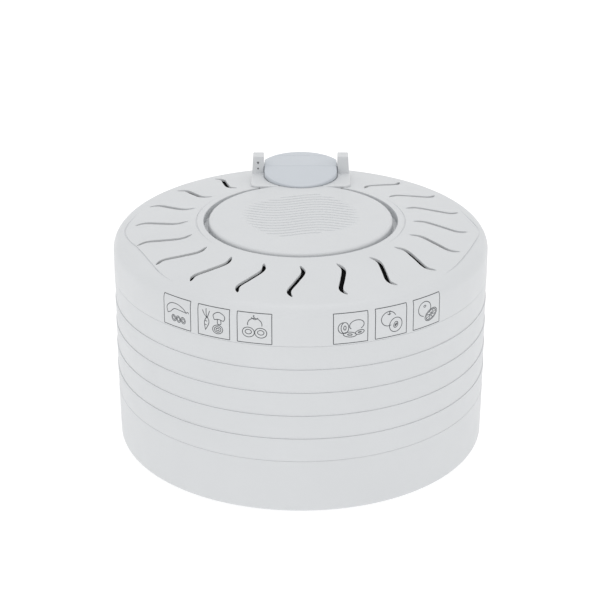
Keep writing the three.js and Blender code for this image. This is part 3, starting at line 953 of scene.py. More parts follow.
# ---------------------------------------------------------------- head
@dataclass
class HeadForm:
    """The head's outer form, which the cap and the prints follow."""

    wall_h: float = 27.2
    shoulder: float = 15.0
    cone_r: float = 110.0
    cone_h: float = 53.2
    slope: float = 0.1547
    collar_r: float = 101.0
    trench_h: float = 44.6
    mouth_r: float = 88.0
    wall: float = 2.4
    edge: float = 0.4  # rounding of the lower rim
    bend: float = 12.0  # rounding where the top meets the collar
    collar_lift: float = 0.6  # how much thinner the wall is under the collar
    rest_gap: float = 0.3  # how far above the cover the cap lies

    @cached_property
    def seam(self) -> float:
        """Height of the seam under the head."""
        return STACK.seam(TRAY_COUNT)

    @property
    def cone_z(self) -> float:
        """Height where the sloping top meets the collar."""
        return self.seam + self.cone_h

    def surface_z(self, radius: float) -> float:
        """Finds the height of the sloping top or the shoulder.

        Args:
            radius: how far from the axis.

        Returns:
            The height.
        """
        slope_end = STACK.radius - self.shoulder + self.shoulder * math.sin(math.atan(self.slope))
        if radius <= slope_end:
            return self.cone_z - self.slope * (radius - self.cone_r)
        across = min(radius - (STACK.radius - self.shoulder), self.shoulder)
        return self.seam + self.wall_h + math.sqrt(self.shoulder**2 - across**2)

    def outer_corners(self, grow: float = 0.0) -> list[Corner]:
        """Lists the outer surface's corners from the rim up to the trench.

        Args:
            grow: how far outside the surface they lie.

        Returns:
            The corners.
        """
        edge_r = STACK.radius + grow
        edge_z = self.cone_z - self.slope * (edge_r - self.cone_r) + grow
        return [
            Corner(edge_r, edge_z, self.shoulder + grow),
            Corner(self.cone_r, self.cone_z + grow, self.bend),
            Corner(self.collar_r - grow, self.surface_z(self.collar_r) + grow, 1.0),
            Corner(self.collar_r - grow, self.seam + self.trench_h + grow, 0.8),
        ]


FORM = HeadForm()


@dataclass
class Vent:
    """One curved slot through the sloping top."""

    knots: tuple[Point2, ...] = ((-0.6, 116.5), (2.6, 129), (-4.2, 146), (-11.4, 162.5), (-8.2, 173.5))
    width: float = 4.8
    samples: int = 5
    lip: tuple[Point2, ...] = ((0.05, 1.0), (0.18, 0.06), (0.12, 0.2), (0.01, 5.0))  # inset and step down

    def outline(self, grow: float) -> list[Point2]:
        """Draws the slot's plan outline at the front.

        Args:
            grow: margin round the slot.

        Returns:
            Its points.
        """
        line = smooth_line([(x, -r) for x, r in self.knots], self.samples)
        last = len(line) - 1
        sides: tuple[list[Point2], list[Point2]] = ([], [])
        for i, point in enumerate(line):
            along = (line[min(i + 1, last)] - line[max(i - 1, 0)]).normalized()
            end = abs(2 * i / last - 1)
            half = self.width / 2 * math.sqrt(max(0.0, 1 - end**3)) + grow
            across = Vector((-along.y, along.x)) * half
            sides[0].append(tuple(point - across))
            sides[1].append(tuple(point + across))
        return sides[0] + sides[1][::-1]

    def cutter(self) -> BMesh:
        """Makes the slot's cutter, with a flared mouth that softens the slot's edge.

        Returns:
            The cutter.
        """
        grow = sum(inset for inset, _ in self.lip[:3])
        above = self.lip[0][1]
        bm = upright(self.outline(grow), above, above + 6)
        low = min(bm.faces, key=lambda f: f.calc_center_median().z)
        for inset, down in self.lip:
            bmesh.ops.inset_region(bm, faces=[low], thickness=inset * MM, depth=down * MM)
        for vert in bm.verts:
            vert.co.z += FORM.surface_z(math.hypot(vert.co.x, vert.co.y) / MM) * MM
        bmesh.ops.triangulate(bm, faces=[f for f in bm.faces if len(f.verts) > 4])
        return bm


@dataclass
class SideFacet:
    """The gentle flat that trims the sloping top at each side, and the fine line along its edge.

    side is -1 for the left and 1 for the right. The line's knots are radius and degrees from that side.
    """

    side: int
    knots: tuple[Point2, ...]
    steepest: float = 0.27
    reach: float = 26.0
    cut_height: float = 30.0
    ramp: float = 0.3
    groove_ramp: float = 0.16
    groove_r: float = 0.9
    groove_depth: float = 0.95

    def path(self) -> list[Vector]:
        """The facet's inner edge in plan, from behind to the front, as on the right-hand side."""
        turns = ((r, math.radians(degrees)) for r, degrees in self.knots)
        return smooth_line([(r * math.cos(turn), r * math.sin(turn)) for r, turn in turns], 8)

    def trimmed_z(self, place: Vector) -> float:
        """Height of the sloping top at a place, as if it had no rounded shoulder."""
        return FORM.cone_z - FORM.slope * (place.length - FORM.cone_r)

    def mirrored(self, bm: BMesh) -> BMesh:
        """Turns the right-hand shape into this side's.

        Args:
            bm: the shape, changed in place.

        Returns:
            The same shape.
        """
        if self.side < 0:
            bmesh.ops.scale(bm, verts=bm.verts, vec=(-1, 1, 1))
            bmesh.ops.reverse_faces(bm, faces=bm.faces)
        return bm

    def groove(self) -> BMesh:
        """Makes the cutter of the fine line, which rises out of the surface at its ends.

        Returns:
            The cutter.
        """
        line = self.path()
        points = []
        for i, p in enumerate(line):
            sink = self.groove_depth * fading(i / (len(line) - 1), self.groove_ramp) - self.groove_r
            points.append((p.x, p.y, self.trimmed_z(p) - sink))
        return self.mirrored(tube(points, self.groove_r, 1))

    def wedge(self) -> BMesh:
        """Makes the cutter above the facet: its underside hinges on the path and dips outwards.

        Returns:
            The cutter.
        """
        line = self.path()
        last = len(line) - 1
        bm = bmesh.new()
        rails: tuple[list[bmesh.types.BMVert], list[bmesh.types.BMVert]] = ([], [])
        for i, p in enumerate(line):
            along = (line[min(i + 1, last)] - line[max(i - 1, 0)]).normalized()
            out = Vector((-along.y, along.x))
            out = out if out.dot(p) > 0 else -out
            share = i / last
            dip = FORM.slope + (self.steepest - FORM.slope) * fading(share, self.ramp)
            z = self.trimmed_z(p)
            tip = p + out * self.reach
            for rail, place in zip(rails, ((p.x, p.y, z), (tip.x, tip.y, z - dip * self.reach))):
                rail.append(bm.verts.new(Vector(place) * MM))
        edges = [bm.edges.new(pair) for rail in rails for pair in zip(rail, rail[1:])]
        raise_faces(bm, bmesh.ops.bridge_loops(bm, edges=edges)["faces"], self.cut_height)
        bmesh.ops.triangulate(bm, faces=bm.faces)
        bmesh.ops.recalc_face_normals(bm, faces=bm.faces)
        return self.mirrored(bm)


@dataclass
class Grommet:
    """The rubber grommet that takes the supply cord through the rear wall."""

    height: float = 17.0  # above the head's seam
    bore: float = 3.6
    neck: float = 6.6
    inner_flange: float = 9.6
    outer_lip: float = 8.8
    flange: float = 3.0  # heights in the order in which they stand up from the inner flange
    neck_top: float = 8.7
    lip_top: float = 9.6
    nose: float = 11.0
    nose_wall: float = 1.6
    round_large: float = 0.7
    round_small: float = 0.3
    start_y: float = 186.5
    play: float = 0.2
    hole_ends: Point2 = (-2.0, 20.0)
    steps: int = 48

    def build(self) -> None:
        """Builds and dresses the grommet."""
        make_piece("cord_grommet", self.along_y(self.ring()), "head", RUBBER, ["cord_gland"])

    def ring(self) -> BMesh:
        """Makes the grommet standing on its inner flange at height zero.

        Returns:
            The grommet.
        """
        corners = [
            Corner(self.bore, 0, 0.6),
            Corner(self.inner_flange, 0, self.round_large),
            Corner(self.inner_flange, self.flange, self.round_large),
            Corner(self.neck, self.flange),
            Corner(self.neck, self.neck_top),
            Corner(self.outer_lip, self.neck_top, self.round_small),
            Corner(self.outer_lip, self.lip_top, self.round_small),
            Corner(self.bore + self.nose_wall, self.nose, 0.8),
            Corner(self.bore, self.nose, 0.5),
        ]
        return spun(rounded(corners), self.steps)

    def cord_hole(self) -> BMesh:
        """Makes the cutter of the hole through the rear wall.

        Returns:
            The cutter.
        """
        radius = self.neck + self.play
        low, high = self.hole_ends
        profile = [(0, low), (radius, low), (radius, high), (0, high)]
        return self.along_y(spun(profile, self.steps, closed=False))

    def along_y(self, bm: BMesh) -> BMesh:
        """Lays an upright turned shape along +Y in the rear wall."""
        bmesh.ops.rotate(bm, verts=bm.verts, matrix=Matrix.Rotation(-math.pi / 2, 3, "X"))
        return moved(bm, y=self.start_y, z=FORM.seam + self.height)


@dataclass
class HeadCover:
    """The head's outer moulding: side wall, shoulder, sloping vented top, collar and trench."""

    vent_count: int = 20
    blind: tuple[int, ...] = (9, 10, 11)  # places at the back without a vent
    notch: tuple[float, float, float] = (90.0, 56.0, 20.0)  # size of the opening under the switch
    notch_y: float = 110.0
    notch_h: float = 48.0
    left_line: tuple[Point2, ...] = (
        (177.5, 19), (180.8, 7), (182.8, -1.5), (179.4, -9.3), (174.6, -16), (173.4, -25), (180, -39),
        (184.5, -48),
    )
    right_line: tuple[Point2, ...] = (
        (178, 23), (181.6, 7.5), (185.7, 0.5), (185.5, -4.2), (181.9, -11), (180.5, -18), (182, -31),
        (186, -43),
    )
    crease_r: float = 108.5
    crease_half_deg: float = 40.0
    crease_ramp: float = 0.35
    crease_bar: float = 0.8
    crease_depth: float = 0.85
    crease_steps: int = 24

    def build(self) -> None:
        """Builds and dresses the cover."""
        cover = self.shell()
        facets = [SideFacet(-1, self.left_line), SideFacet(1, self.right_line)]
        cover = combined(cover, joined([f.wedge() for f in facets]), Cut.AWAY)
        vents = [k * 360 / self.vent_count for k in range(self.vent_count) if k not in self.blind]
        cover = combined(cover, turned_copies(Vent().cutter(), vents), Cut.AWAY)
        lines = [f.groove() for f in facets] + [self.collar_line(side) for side in (-1, 1)]
        cover = combined(cover, joined(lines), Cut.AWAY)
        opening = block(self.notch, (0, self.notch_y, FORM.seam + self.notch_h))
        cover = combined(cover, opening, Cut.AWAY)
        cover = combined(cover, Grommet().cord_hole(), Cut.AWAY)
        make_piece("vented_cover", cover, "head", SHELL, ["head_cover"])

    def shell(self) -> BMesh:
        """Makes the cover before anything is cut out of it.

        Returns:
            The cover.
        """
        low = FORM.seam + STACK.seam_gap / 2
        inner_edge = FORM.cone_z - FORM.slope * (STACK.radius - FORM.cone_r) - FORM.wall
        inner_collar = FORM.collar_r + FORM.wall
        corners = [
            Corner(STACK.radius, low, FORM.edge),
            *FORM.outer_corners(),
            Corner(FORM.mouth_r, FORM.seam + FORM.trench_h),
            Corner(FORM.mouth_r, FORM.seam + FORM.trench_h - FORM.wall),
            Corner(inner_collar, FORM.seam + FORM.trench_h - FORM.wall, 1),
            Corner(inner_collar, FORM.cone_z - FORM.wall + FORM.collar_lift, 1),
            Corner(STACK.radius - FORM.wall, inner_edge, FORM.shoulder - FORM.wall),
            Corner(STACK.radius - FORM.wall, low, FORM.edge),
        ]
        return spun(rounded(corners, step_deg=6), STACK.steps)

    def collar_line(self, side: int) -> BMesh:
        """Makes the cutter of the fine crease beside the collar, fading towards both ends.

        Args:
            side: -1 for the left and 1 for the right.

        Returns:
            The cutter.
        """
        middle = 90.0 - 90.0 * side
        points = []
        for i in range(self.crease_steps + 1):
            share = i / self.crease_steps
            angle = math.radians(middle + self.crease_half_deg * (2 * share - 1))
            rise = self.crease_bar - self.crease_depth * fading(share, self.crease_ramp)
            x, y = self.crease_r * math.cos(angle), self.crease_r * math.sin(angle)
            points.append((x, y, FORM.surface_z(self.crease_r) + rise))
        return tube(points, self.crease_bar, 1)


# ---------------------------------------------------------------- cap and switch
@dataclass
class SwitchForm:
    """Sizes that the cap's recess and the rocker share."""

    front: Point2 = (124.5, 40.2)  # centre and radius of the round front edge
    rear: Point2 = (123.5, 46.8)
    half_width: float = 39.6
    pivot_y: float = 136.0
    pivot_h: float = 62.2
    clearance: float = 0.7
    arc_steps: int = 40
    lug: tuple[float, float, float] = (6.0, 8.0, 6.0)  # the lug under the rocker that works the switch
    lug_slot: tuple[float, float, float] = (10.0, 16.0, 10.0)
    lug_y: float = 118.0

    def outline(self, grow: float) -> list[Point2]:
        """Draws the plan outline of the rocker.

        Args:
            grow: margin round it.

        Returns:
            Its points.
        """
        half = self.half_width + grow
        (front_y, front_r), (rear_y, rear_r) = self.front, self.rear
        from_front = math.degrees(math.acos(half / (front_r + grow)))
        from_rear = math.degrees(math.acos(half / (rear_r + grow)))
        front = arc((0, front_y), front_r + grow, from_front - 180, -from_front, self.arc_steps)
        rear = arc((0, rear_y), rear_r + grow, from_rear, 180 - from_rear, self.arc_steps)
        return front + rear


SWITCH = SwitchForm()


@dataclass
class MotorCap:
    """The raised round cap with fine waves, and the pod that carries the switch behind it."""

    radius: float = 95.8
    top_h: float = 56.25
    wall: float = 3.0
    edge: float = 4.0
    pod_half: float = 54.0
    pod_front: float = 90.5
    pod_middle: float = 128.0
    pod_corner: float = 9.0
    tub_floor_h: float = 52.25
    tub_wall: float = 2.0
    pod_low_h: float = 36.0
    hollow_low_h: float = 30.0
    pod_edge: float = 1.2
    overrun: float = 40.0  # how far the recess's cutter reaches above the cap
    post_top_h: float = 76.0
    post_sink: float = 2.0
    post_edge: float = 0.9
    post_y: Point2 = (128.0, 142.0)
    post_foot: Point2 = (40.2, 53.2)
    post_head: Point2 = (40.3, 52.0)
    pin_r: float = 2.3
    bore_x: float = 41.0
    bore_length: float = 16.0

    @property
    def top(self) -> float:
        """Height of the cap's flat top."""
        return FORM.seam + self.top_h

    def build(self) -> None:
        """Builds and dresses the cap."""
        cap = combined(self.disc(), self.pod(), Cut.WITH)
        floor = FORM.seam + self.tub_floor_h
        tub = upright(SWITCH.outline(SWITCH.clearance + self.tub_wall), floor - self.tub_wall, self.top - 1)
        cap = combined(cap, tub, Cut.WITH)
        for side in (-1, 1):
            cap = combined(cap, self.post(side), Cut.WITH)
        recess = upright(SWITCH.outline(SWITCH.clearance), floor, self.top + self.overrun)
        cap = combined(cap, recess, Cut.AWAY)
        cap = combined(cap, block(SWITCH.lug_slot, (0, SWITCH.lug_y, floor)), Cut.AWAY)
        for side in (-1, 1):
            cap = combined(cap, self.pin_bore(side), Cut.AWAY)
        cap = combined(cap, joined(WaveField(self.top).grooves()), Cut.AWAY)
        make_piece("cap_moulding", cap, "head", SHELL, ["motor_cap"])

    def disc(self) -> BMesh:
        """Makes the hollow round cap.

        Returns:
            The cap.
        """
        low = FORM.seam + FORM.trench_h + FORM.rest_gap
        inner = self.radius - self.wall
        corners = [
            Corner(0, self.top - self.wall),
            Corner(inner, self.top - self.wall, 1.5),
            Corner(inner, low),
            Corner(self.radius, low, FORM.edge),
            Corner(self.radius, self.top, self.edge),
            Corner(0, self.top),
        ]
        return spun(rounded(corners, closed=False), STACK.steps, closed=False)

    def pod_outline(self, inset: float) -> list[Point2]:
        """Draws the plan outline of the pod.

        Args:
            inset: how far in it is drawn.

        Returns:
            Its points.
        """
        half = self.pod_half - inset
        front = self.pod_front + inset
        corners = [
            Corner(-half, self.pod_middle),
            Corner(-half, front, self.pod_corner - inset / 2),
            Corner(half, front, self.pod_corner - inset / 2),
            Corner(half, self.pod_middle),
        ]
        back = arc((0, self.pod_middle), half, 0, 180, 60)
        return rounded(corners, closed=False) + back[1:-1]

    def pod(self) -> BMesh:
        """Makes the hollow pod, cut to lie on the cover.

        Returns:
            The pod.
        """
        roof = self.top - HAIR / 5
        pod = upright(self.pod_outline(0), FORM.seam + self.pod_low_h, roof)
        softened(pod, self.pod_edge, above_z=roof)
        hollow = upright(self.pod_outline(self.wall), FORM.seam + self.hollow_low_h, self.top - self.wall)
        pod = combined(pod, hollow, Cut.AWAY)
        outside = Corner(STACK.radius + self.wall, FORM.seam)
        under = [Corner(0, FORM.seam), outside, *FORM.outer_corners(FORM.rest_gap)]
        under += [Corner(0, FORM.seam + FORM.trench_h + FORM.rest_gap)]
        return combined(pod, spun(rounded(under, closed=False), STACK.steps, closed=False), Cut.AWAY)

    def post(self, side: int) -> BMesh:
        """Makes one upright post, its edges softened.

        Args:
            side: -1 for the left and 1 for the right.

        Returns:
            The post.
        """
        low, high = self.top - self.post_sink, FORM.seam + self.post_top_h
        (y0, y1), foot, head = self.post_y, self.post_foot, self.post_head
        bm = block((1, 1, 1), (0, 0, 0))
        for vert in bm.verts:
            inner, outer = head if vert.co.z > 0 else foot
            x = (outer if vert.co.x > 0 else inner) * side
            vert.co = Vector((x, y1 if vert.co.y > 0 else y0, high if vert.co.z > 0 else low)) * MM
        bmesh.ops.recalc_face_normals(bm, faces=bm.faces)
        return softened(bm, self.post_edge)

    def pin_bore(self, side: int) -> BMesh:
        """Makes the cutter for one pin's bore in a post.

        Args:
            side: -1 for the left and 1 for the right.

        Returns:
            The cutter.
        """
        bore = bmesh.new()
        radii = {"radius1": self.pin_r * MM, "radius2": self.pin_r * MM}
        bmesh.ops.create_cone(bore, segments=24, depth=self.bore_length * MM, cap_ends=True, **radii)
        bmesh.ops.rotate(bore, verts=bore.verts, matrix=Matrix.Rotation(math.pi / 2, 3, "Y"))
        return moved(bore, self.bore_x * side, SWITCH.pivot_y, FORM.seam + SWITCH.pivot_h)


@dataclass
class WaveField:
    """The round field of fine wavy grooves on the cap."""

    top: float
    half_width: float = 65.0
    half_depth: float = 57.0
    middle_y: float = 7.0
    pitch: float = 7.1
    count: int = 16
    swing: float = 5.0
    wavelength: float = 94.0
    shift: float = 4.5
    bar: float = 1.5
    depth: float = 1.1
    ramp: float = 0.1
    pace: float = 2.5

    def grooves(self) -> list[BMesh]:
        """Makes the cutters of every groove, rising out of the surface at their ends.

        Returns:
            The cutters.
        """
        made = []
        for i in range(self.count):
            start = (i - (self.count - 1) / 2) * self.pitch
            half = self.half_width * math.sqrt(1 - (start / self.half_depth) ** 2)
            steps = round(2 * half / self.pace)
            made.append(tube([self.point(start, half, k / steps) for k in range(steps + 1)], self.bar, 1))
        return made

    def point(self, start: float, half: float, share: float) -> tuple[float, float, float]:
        """A point of a groove's centre line.

        Args:
            start: how far behind the field's middle the groove runs.
            half: half of the groove's length.
            share: 0 at its left end and 1 at its right end.

        Returns:
            The point in millimetres.
        """
        x = half * (2 * share - 1)
        y = self.middle_y + start + self.swing * math.sin(FULL_TURN * (x + self.shift) / self.wavelength)
        return (x, y, self.top + self.bar - self.depth * fading(share, self.ramp))


@dataclass
class Rocker:
    """The broad blue-grey rocker, with the lug under it."""

    under_h: float = 55.2
    lip: Point2 = (87.0, 58.9)  # plan position and height of the top at the front edge
    ridge: Point2 = (130.0, 64.5)
    tail: Point2 = (172.0, 66.3)
    tail_under_h: float = 58.3
    under_bend_y: float = 128.0
    edge: float = 1.3
    line_places: tuple[Point2, ...] = ((130.0, 64.5), (158.0, 65.72))  # fine lines across the top
    line_bar: float = 0.8
    line_depth: float = 0.32
    overrun: float = 5.0  # how far a cutter reaches past the paddle

    def build(self) -> None:
        """Builds and dresses the rocker."""
        make_piece("rocker_paddle", self.paddle(), "rocker", PADDLE, ["switch_rocker"])

    def paddle(self) -> BMesh:
        """Raises the plan outline, then slices it by its four faces.

        Returns:
            The paddle.
        """
        seam = FORM.seam
        bm = upright(SWITCH.outline(0), seam + self.under_h, seam + self.tail[1] + self.overrun)
        self.slice(bm, self.lip, self.ridge, keep_above=False)
        self.slice(bm, self.ridge, self.tail, keep_above=False)
        self.slice(bm, (self.under_bend_y, self.under_h), (self.tail[0], self.tail_under_h), keep_above=True)
        bmesh.ops.recalc_face_normals(bm, faces=bm.faces)
        softened(bm, self.edge, 4)
        for y, height in self.line_places:
            half = SWITCH.half_width + self.overrun
            at = seam + height + self.line_bar - self.line_depth
            bm = combined(bm, tube([(-half, y, at), (half, y, at)], self.line_bar, 1), Cut.AWAY)
        lug = block(SWITCH.lug, (0, SWITCH.lug_y, seam + self.under_h - self.edge))
        return joined([bm, softened(lug, 0.5, 2)])

    def slice(self, bm: BMesh, start: Point2, stop: Point2, keep_above: bool) -> None:
        """Cuts the paddle with the plane through two (y, height) points, and closes the cut.

        Args:
            bm: the paddle, changed in place.
            start: a point of the plane.
            stop: another point of the plane, further back.
            keep_above: whether the stuff above the plane stays.
        """
        along = Vector((0, stop[0] - start[0], stop[1] - start[1]))
        normal = Vector((1, 0, 0)).cross(along).normalized()
        at = Vector((0, start[0], FORM.seam + start[1])) * MM
        geom = [*bm.verts, *bm.edges, *bm.faces]
        done = bmesh.ops.bisect_plane(
            bm, geom=geom, plane_co=at, plane_no=normal, clear_outer=not keep_above, clear_inner=keep_above
        )
        rim = [e for e in done["geom_cut"] if isinstance(e, bmesh.types.BMEdge)]
        bmesh.ops.contextual_create(bm, geom=rim)


# ---------------------------------------------------------------- prints
Mapping = Callable[[float, float], Vector]


@dataclass
class Sketch:
    """Line drawings printed as thin strips of ink."""

    place: Mapping
    width: float = 0.75
    thick: float = 0.05
    strokes: list[BMesh] = field(default_factory=list)

    def line(self, points: Sequence[Sequence[float]], width: float | None = None) -> "Sketch":
        """Draws one stroke.

        Args:
            points: its line, in the drawing's own millimetres.
            width: the stroke's width, or None for the usual one.

        Returns:
            This sketch.
        """
        half = (width or self.width) / 2
        flat = [Vector(p) for p in points]
        last = len(flat) - 1
        shut = (flat[0] - flat[-1]).length < MERGE_DISTANCE
        bm = bmesh.new()
        rails: tuple[list[bmesh.types.BMEdge], list[bmesh.types.BMEdge]] = ([], [])
        ends: list[bmesh.types.BMVert] = []
        for i, p in enumerate(flat):
            before = flat[-2] if shut and i == 0 else flat[max(i - 1, 0)]
            after = flat[1] if shut and i == last else flat[min(i + 1, last)]
            along = (after - before).normalized()
            across = Vector((-along.y, along.x)) * half
            new = [bm.verts.new(self.place(*(p + side)) * MM) for side in (-across, across)]
            for rail, old, fresh in zip(rails, ends, new):
                rail.append(bm.edges.new((old, fresh)))
            ends = new
        bmesh.ops.bridge_loops(bm, edges=[*rails[0], *rails[1]])
        bmesh.ops.remove_doubles(bm, verts=bm.verts, dist=MERGE_DISTANCE)
        bmesh.ops.recalc_face_normals(bm, faces=bm.faces)
        bmesh.ops.solidify(bm, geom=bm.faces, thickness=self.thick * MM)
        bmesh.ops.recalc_face_normals(bm, faces=bm.faces)
        self.strokes.append(bm)
        return self

    def curve(self, knots: Sequence[Point2], steps: int = 6) -> "Sketch":
        """Draws one smooth stroke through knots."""
        return self.line(smooth_line(knots, steps))

    def oval(
        self, x: float, y: float, rx: float, ry: float, tilt: float = 0, start: float = 0, end: float = 360
    ) -> "Sketch":
        """Draws an oval or a part of one.

        Args:
            x: middle.
            y: middle.
            rx: half width.
            ry: half height.
            tilt: degrees.
            start: degrees where the part starts.
            end: degrees where it ends.

        Returns:
            This sketch.
        """
        turn = Matrix.Rotation(math.radians(tilt), 2)
        ring = arc((0, 0), 1, start, end, max(6, round(abs(end - start) / 12)))
        return self.line([turn @ Vector((px * rx, py * ry)) + Vector((x, y)) for px, py in ring])

    def polygon(self, points: Sequence[Point2], pace: float = 2.0) -> "Sketch":
        """Draws straight strokes, each cut up finely enough to follow a curved wall.

        Args:
            points: the corners.
            pace: longest piece of a stroke.

        Returns:
            This sketch.
        """
        for start, stop in zip(points, points[1:]):
            a, b = Vector(start), Vector(stop)
            count = max(1, math.ceil((b - a).length / pace))
            self.line([a.lerp(b, i / count) for i in range(count + 1)])
        return self


@dataclass
class FruitPrints:
    """Six small framed drawings of fruit and vegetables on the front of the head."""

    frame_half: float = 17.3
    frame_tall: float = 31.8
    low_h: float = 1.7  # lower edge of the frames above the head's seam
    lift: float = 0.04
    places_deg: tuple[float, ...] = (-38.6, -25.8, -13.3, 14.4, 26.9, 39.5)

    def mapping(self, middle_deg: float) -> Mapping:
        """Sets where one drawing lies on the wall.

        Args:
            middle_deg: how far round from the front its middle is.

        Returns:
            A function from the drawing to the wall: x runs along it, y up it and over the shoulder.
        """

        def place(x: float, y: float) -> Vector:
            """Finds the place on the wall.

            Args:
                x: across the drawing.
                y: up the drawing.

            Returns:
                The place in millimetres.
            """
            up = y + self.frame_tall / 2 + self.low_h
            arc_up = max(0.0, up - FORM.wall_h)
            bend = arc_up / FORM.shoulder
            out = STACK.radius - FORM.shoulder + (FORM.shoulder + self.lift) * math.cos(bend)
            z = FORM.seam + min(up, FORM.wall_h) + (FORM.shoulder + self.lift) * math.sin(bend)
            turn = math.radians(middle_deg) + x / STACK.radius
            return Vector((out * math.sin(turn), -out * math.cos(turn), z))

        return place

    def build(self) -> None:
        """Prints all six drawings as one piece."""
        drawings = (self.pepper, self.roots, self.tomatoes, self.kiwis, self.apples, self.orange)
        strokes = []
        for degrees, draw in zip(self.places_deg, drawings):
            sketch = Sketch(self.mapping(degrees))
            w, h = self.frame_half, self.frame_tall / 2
            sketch.polygon([(-w, -h), (w, -h), (w, h), (-w, h), (-w, -h)])
            draw(sketch)
            strokes += sketch.strokes
        make_piece("front_pictograms", joined(strokes), "head", INK)

    def pepper(self, s: Sketch) -> None:
        """Draws a long pepper with three rings cut from it.

        Args:
            s: the sketch.
        """
        s.curve([(-12, -3), (-13, 3), (-8, 8), (0, 9), (8, 6), (12, 2)])
        s.curve([(-12, -3), (-8, -1), (-3, 3), (4, 3), (12, 2)])
        s.curve([(12, 2), (14, 3.5), (15, 2)])
        for x in (-4, 2, 8):
            s.oval(x, -7, 2.6, 3.4, 15)
            s.oval(x, -7, 1.4, 2.0, 15)

    def roots(self, s: Sketch) -> None:
        """Draws a carrot with leaves, a mushroom and a halved onion.

        Args:
            s: the sketch.
        """
        s.curve([(-9, -10), (-10, -2), (-8, 3), (-6, 3), (-5, -2), (-9, -10)])
        for x, y in ((-12, 11), (-8, 13), (-4, 11)):
            s.curve([(-7, 3), (x * 0.6 - 3, 7), (x, y)])
        s.line([(-9.5, -4), (-7.6, -4.4)])
        s.line([(-9.2, 0), (-6.8, -0.5)])
        s.oval(4.5, -7, 5.5, 4.6, 10)
        s.oval(4.5, -7, 3.6, 2.9, 10)
        s.oval(4.5, -7, 1.7, 1.3, 10)
        s.curve([(1, 3), (0, 8), (6, 11.5), (12, 8), (11, 3), (6, 4), (1, 3)])
        s.curve([(4.5, 3.6), (4.6, -1), (8, -1), (8, 3.6)])

    def tomatoes(self, s: Sketch) -> None:
        """Draws a round tomato behind two halves.

        Args:
            s: the sketch.
        """
        s.oval(0.5, 4, 7.2, 6.6, 0, -12, 192)
        s.curve([(0.5, 10.6), (-1, 12.8), (0.2, 13.2)])
        s.curve([(-3, 11.2), (0.5, 9.2), (4, 11.2)])
        for x in (-6, 6.4):
            s.oval(x, -4.6, 6, 5.2)
            s.oval(x, -4.2, 3.2, 2.4)

    def kiwis(self, s: Sketch) -> None:
        """Draws a kiwi fruit, a half and two slices.

        Args:
            s: the sketch.
        """
        s.oval(6, 2.6, 7.4, 5.2, 8, -60, 215)
        s.oval(-7.5, 0.5, 5.2, 5.8, 0, 90, 270)
        s.oval(-6, 0.5, 3.8, 5.8)
        s.oval(-6, 0.5, 1.2, 2.2)
        s.oval(-1, -7, 6.6, 2.6, -8)
        s.oval(-1, -7, 2.4, 0.8, -8)
        s.oval(9, -5.4, 4.6, 2.2, 12)
        s.oval(9, -5.4, 1.6, 0.6, 12)

    def apples(self, s: Sketch) -> None:
        """Draws an apple and a cut half with its core.

        Args:
            s: the sketch.
        """
        s.oval(-3, 3.5, 8, 7.6, 0, 20, 290)
        s.curve([(-4.4, 9), (-2.6, 7.6), (-0.8, 9)])
        s.line([(-2.6, 7.8), (-1.6, 11.8)])
        s.oval(5, -4.2, 7, 7.6, -20)
        s.oval(5, -4.2, 2.2, 3.2, -20)
        s.oval(4.6, -4.6, 0.5, 1.1, -10)
        s.oval(5.6, -3.8, 0.5, 1.1, -30)

    def orange(self, s: Sketch) -> None:
        """Draws an orange and a slice that shows its segments.

        Args:
            s: the sketch.
        """
        s.oval(-3, 3.6, 8, 7.8, 0, -35, 262)
        s.oval(-3, 6.4, 1.4, 1.0)
        s.oval(5.4, -4.4, 8.4, 5.4, 28)
        s.oval(5.4, -4.4, 7.0, 4.2, 28)
        turn = Matrix.Rotation(math.radians(28), 2)
        for i in range(8):
            a = math.radians(i * 45)
            ends = [Vector((k * 7.0 * math.cos(a), k * 4.2 * math.sin(a))) for k in (0.12, 0.92)]
            s.line([turn @ e + Vector((5.4, -4.4)) for e in ends])


@dataclass
class PostMarks:
    """Two tiny marks on the left post: a triangle over a dot."""

    x: float = -46.6
    triangle_h: float = 68.5
    dot_h: float = 62.0
    size: float = 2.0
    lift: float = 0.02
    stroke: float = 0.7
    half_share: float = 0.55  # half the triangle's width and the dot's radius, as shares of the size
    dot_share: float = 0.3

    def build(self) -> None:
        """Prints both marks."""
        front = MotorCap().post_y[0] - self.lift
        sketch = Sketch(lambda x, y: Vector((self.x + x, front, FORM.seam + y)), width=self.stroke)
        low, high = self.triangle_h - self.size / 2, self.triangle_h + self.size / 2
        half, dot = self.size * self.half_share, self.size * self.dot_share
        sketch.polygon([(-half, high), (half, high), (0, low), (-half, high)])
        sketch.oval(0, self.dot_h, dot, dot)
        make_piece("post_marks", joined(sketch.strokes), "head", INK)


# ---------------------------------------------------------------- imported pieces
DRESSED: tuple[tuple[Finish, str], ...] = (
    (SHELL, "air_plate fan_guard"),
    (HEATER_SHEATH, "heater_element"),
    (CERAMIC, "heater_support_1 heater_support_2 heater_support_3"),
    (ZINC, "motor_mount motor_plate_lower motor_plate_upper fan_nut"),
    (ZINC, "mount_screw_1 mount_screw_2 mount_screw_3"),
    (ZINC, "plate_screw_1 plate_screw_2 plate_screw_3 plate_screw_4"),
    (BRONZE, "bearing_lower bearing_upper"),
    (CORE, "motor_stator motor_rotor"),
    (COPPER, "motor_coil"),
    (BLACK_NYLON, "switch_body thermal_cut_out terminal_block fan_impeller"),
    (VENT_SHADE_FILTER, "dust_screen"),
    (GROUND_STEEL, "motor_shaft rocker_pin_left rocker_pin_right"),
    (LEAD, "wire_supply wire_motor wire_switch wire_heater"),
)


